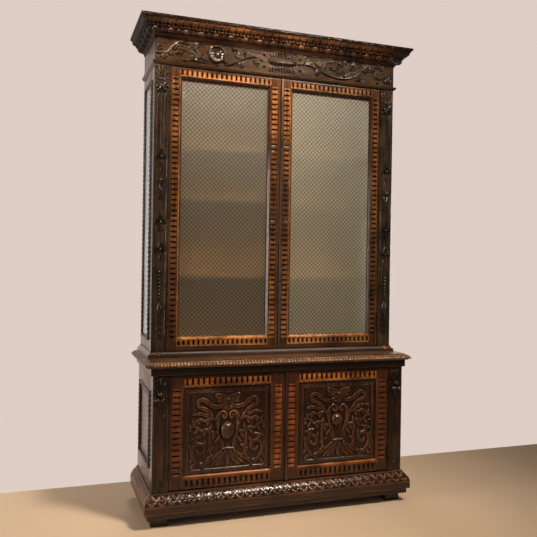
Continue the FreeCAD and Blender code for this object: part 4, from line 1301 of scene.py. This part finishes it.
def cartouche(u, v, boss):
    """The carving of a lower panel, about its middle; most lines are drawn for the left and turned over."""
    standing = Carving(u, v)
    line = standing.line

    def both(points, height, section=veined):
        """A line and its mirror image."""
        line(points, height, section)
        line([(-x, z, wide) for x, z, wide in points], height, section)

    both([(4, 152, 5), (-24, 167, 8), (-56, 176, 7), (-52, 160, 6), (-14, 152, 5)], 9, strap)
    both([(0, 148, 5), (-27, 142, 7), (-50, 140, 6), (-44, 152, 5), (-12, 153, 5)], 8, strap)
    both([(-4, 142, 6), (-24, 121, 9), (-55, 114, 10), (-85, 123, 10), (-107, 143, 10), (-133, 153, 9),
          (-152, 140, 8), (-144, 117, 8), (-112, 104, 9), (-96, 88, 9), (-107, 74, 8), (-137, 84, 8),
          (-174, 82, 5)], 9, strap)
    both([(-43, 78, 7), (-32, 91, 7), (-16, 88, 7), (-8, 73, 7), (-17, 60, 6), (-27, 66, 6), (-22, 74, 5)],
         12, half_round)
    both([(-30, 90, 7), (-45, 76, 10), (-54, 45, 10), (-46, 0, 10), (-36, -42, 10), (-28, -84, 9)], 10, strap)
    both([(-52, 44, 7), (-76, 57, 9), (-98, 56, 9), (-116, 48, 8), (-140, 56, 8), (-162, 46, 5)], 9)
    both([(-48, -4, 7), (-67, -12, 9), (-92, -6, 10), (-110, 6, 9), (-132, 2, 7), (-150, 14, 8),
          (-168, 26, 9), (-188, 20, 8), (-190, 4, 6), (-178, 4, 5)], 9)
    both([(-34, -104, 8), (-67, -131, 11), (-97, -147, 12), (-128, -161, 12), (-156, -150, 11),
          (-177, -118, 10), (-176, -84, 10), (-150, -61, 10), (-123, -72, 10), (-121, -97, 9),
          (-141, -107, 9), (-153, -93, 7)], 10)
    both([(-30, -110, 4), (-56, -144, 7), (-84, -170, 3)], 9, half_round)
    both([(-92, -16, 5), (-90, -66, 10), (-88, -120, 5)], 8)
    both([(-40, -28, 5), (-56, -48, 8), (-70, -62, 4)], 10)
    for x, z, tip_x, tip_z, wide in (
            (-176, -126, -196, -156, 10), (-180, -92, -198, -62, 10), (-154, -64, -166, -32, 10),
            (-124, -74, -110, -44, 10), (-100, -146, -76, -116, 11), (-134, -160, -118, -186, 9),
            (-92, -6, -82, 28, 10), (-110, 6, -122, -24, 10), (-67, -12, -76, -44, 10),
            (-140, 56, -152, 34, 8), (-186, 14, -198, 40, 8), (-76, 57, -88, 88, 9), (-150, 14, -168, -16, 9),
            (-156, -148, -186, -178, 10), (-96, 56, -106, 30, 8), (-66, -76, -102, -98, 9),
            (-168, 26, -176, 56, 8), (-136, -26, -188, -40, 9)):
        both([(x, z, wide * 0.6), ((x + tip_x) / 2, (z + tip_z) / 2, wide), (tip_x, tip_z, 3)], 9)
    both([(-6, -98, 8), (-22, -128, 13), (-44, -156, 13), (-56, -168, 7)], 10)
    both([(0, 98, 4), (-13, 108, 8), (-28, 104, 3)], 8)
    line([(0, -98, 8), (0, -130, 14), (0, -168, 6)], 9, veined)
    line([(-26, -91, 7), (0, -89, 7), (26, -91, 7)], 13)
    line([(0, 142, 6), (0, 118, 11), (0, 98, 5)], 9, veined)
    standing.boss((2, 151), (12, 9), 14)
    place, radii, height = boss
    off_z = (v / MM - place[1]) / radii[1]
    ring = np.hypot((u / MM - place[0]) / (radii[0] * (1 + boss_swelling * off_z)), off_z)
    swell = np.sqrt(np.clip(1 - ring ** 2, 0, 1)) * height * MM
    return np.maximum(standing.height * fade(ring - 1, boss_gap), swell)


def panel_face(u, v, boss):
    """The panel's bevel, its carved field, and the fine bead round the field."""
    edge = inset(u, v)
    field = edge - panel_bevel - panel_bead
    ground = panel_rise * (np.clip(edge / panel_bevel, 0, 1) - 1) - panel_sunk * fade(field, panel_bead)
    middle_x = (u.min() + u.max()) / 2
    middle_z = (v.min() + v.max()) / 2
    return ground + cartouche(u - middle_x, v - middle_z, boss) * fade(field, panel_fade)


for side in ("left", "right"):
    door = "lower_{}_door_".format(side)
    low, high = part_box(door + "panel")
    opening = (low.x + tongue, high.x - tongue, low.z + tongue, high.z - tongue)
    for member, (band, wear_and_painted_light, lip) in stiles.items():
        u, v = front_grid(door + member)
        board = nulled_board(door + member, u, v, opening, band, lower_pitch, lower_moulded, True, wear_and_painted_light, lip)
        skin(door + member + "_nulled", [board], lower_z, door + member)
    rails_low, rails_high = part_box(door + "rails")
    rails = []
    for start, end, band in ((rails_low.z, opening[2], bottom_band), (opening[3], rails_high.z, top_band)):
        u, v = face_grid(opening[0], opening[1], start, end)
        rails.append(nulled_board(door + "rails", u, v, opening, band, lower_pitch, lower_moulded, False,
                                  rail_wear_and_light, rail_lip))
    skin(door + "rails_nulled", rails, lower_x, door + "rails")
    u, v = face_grid(*opening, PANEL_STEP)
    ground = panel_face(u, v, bosses[side]) + hand_cut(u, v)
    board = front_board(door + "panel", u, v, ground, rubbing(ground, panel_rub, panel_rub_depth))
    skin(door + "panel_carved", [board], panel_oak, door + "panel")
half_round_bead("lower_right_door_astragal", lower_z, (0.2, 0.2))

# Hinges: ten butt hinges, each two brass leaves let into the wood and a pin, dull with age. Their knuckles
# stand in front of the posts; the solids are already the right shape, so only the finish is new.
brass_spread = (0.35, 0.65, 0.0, 1.0)
brass_roughness = (0.3, 0.7, 0.35, 0.6)
brass, tree, shader = new_finish("dull_brass")
tarnish = mottle(tree, shader_node(tree, "TexCoord", {}).outputs["Object"], scale=60.0, detail=5.0)
tarnished = tint(tree, ranged(tree, tarnish, *brass_spread), stain(34, 26, 17), stain(78, 58, 34))
tree.links.new(tarnished, shader.inputs["Base Color"])
tree.links.new(ranged(tree, tarnish, *brass_roughness), shader.inputs["Roughness"])
shader.inputs["Metallic"].default_value = 1.0
for node in frame["nodes"].values():
    if "hinge" in node.name:
        node.material_slots[0].material = brass

# Studio: a plain floor that ends behind the cabinet, a pale room all round it, six soft lamps, and the camera
# where the photograph was taken from.
camera_place = Vector((-1.1697, -3.2984, 1.2443))
camera_yaw = math.radians(19.14)
camera_pitch = math.radians(-0.16)
camera_roll = math.radians(0.87)
sensor_width = 36.0
lens = 43.84
camera = bpy.data.objects.new("camera", bpy.data.cameras.new("camera"))
camera.data.sensor_width = sensor_width
camera.data.lens = lens
camera.matrix_world = (Matrix.Translation(camera_place) @ Matrix.Rotation(-camera_yaw, 4, "Z")
                       @ Matrix.Rotation(math.radians(90) + camera_pitch, 4, "X")
                       @ Matrix.Rotation(camera_roll, 4, "Z"))
bpy.context.scene.collection.objects.link(camera)
bpy.context.scene.camera = camera

floor_edge = 0.5
floor_side = 6.0
floor_front = 7.0
floor_roughness = 0.9
floor_mesh = bpy.data.meshes.new("floor")
floor_points = [(-floor_side, -floor_front, 0), (floor_side, -floor_front, 0), (floor_side, floor_edge, 0),
                (-floor_side, floor_edge, 0)]
floor_mesh.from_pydata(floor_points, [], [(0, 1, 2, 3)])
floor_finish, _, shader = new_finish("pale_floor")
shader.inputs["Base Color"].default_value = stain(226, 196, 164)
shader.inputs["Roughness"].default_value = floor_roughness
floor_mesh.materials.append(floor_finish)
floor = bpy.data.objects.new("floor", floor_mesh)
bpy.context.scene.collection.objects.link(floor)


def soft_light(name, place, aim, size, power, colour, spread=180):
    """A large soft lamp aimed at a point, which the camera itself doesn't see."""
    lamp = bpy.data.lights.new(name, "AREA")
    lamp.shape = "RECTANGLE"
    lamp.size, lamp.size_y = size
    lamp.energy = power
    lamp.spread = math.radians(spread)
    lamp.color = colour
    holder = bpy.data.objects.new(name, lamp)
    holder.location = place
    holder.rotation_euler = (Vector(aim) - Vector(place)).to_track_quat("-Z", "Y").to_euler()
    holder.visible_camera = False
    bpy.context.scene.collection.objects.link(holder)


soft_light("key", place=(1.2, -2.3, 3.9), aim=(-0.2, -0.2, 0.75), size=(0.7, 0.7), power=19,
           colour=(1.0, 0.9, 0.76), spread=60)
soft_light("over", place=(-0.9, -2.8, 4.6), aim=(-0.32, -0.1, 2.43), size=(0.7, 0.7), power=7.8,
           colour=(1.0, 0.82, 0.62), spread=24)
soft_light("side", place=(2.8, 0.1, 1.4), aim=(0.3, 0.1, 1.25), size=(0.6, 1.0), power=4,
           colour=(1.0, 0.95, 0.88), spread=50)
soft_light("fill", place=(-3.2, -3.2, 2.4), aim=(0, 0, 1.2), size=(1.6, 2.0), power=14,
           colour=(1.0, 0.96, 0.92))
soft_light("left", place=(-4.0, -0.7, 1.4), aim=(-0.7, 0, 0.6), size=(1.4, 2.0), power=66,
           colour=(1.0, 0.93, 0.87))
soft_light("back", place=(0.3, 3.4, 5.4), aim=(0, 0.3, 1.0), size=(1.6, 1.6), power=60,
           colour=(1.0, 0.95, 0.9))

# The room is seen at full strength by the camera, and by the glass and the wax only towards the back; it
# lights the cabinet itself only faintly.
wall_colour = stain(222, 206, 197)
room_light = 0.1
wall_start = 0.25
wall_full = 0.35
world = bpy.data.worlds.new("studio")
world.use_nodes = True
tree = world.node_tree
background = tree.nodes["Background"]
path = shader_node(tree, "LightPath", {}).outputs
bearing = shader_node(tree, "TexCoord", {}).outputs["Generated"]
towards_back = shader_node(tree, "SeparateXYZ", {"Vector": bearing}).outputs["Y"]
wall = ranged(tree, towards_back, wall_start, wall_full, 0.0, 1.0)
mirrored = combined(tree, "MAXIMUM", path["Is Glossy Ray"], path["Is Transmission Ray"])
seen = combined(tree, "MAXIMUM", path["Is Camera Ray"], combined(tree, "MULTIPLY", mirrored, wall))
background.inputs["Color"].default_value = wall_colour
tree.links.new(ranged(tree, seen, 0.0, 1.0, room_light, 1.0), background.inputs["Strength"])
bpy.context.scene.world = world
bpy.context.scene.view_settings.view_transform = "Standard"
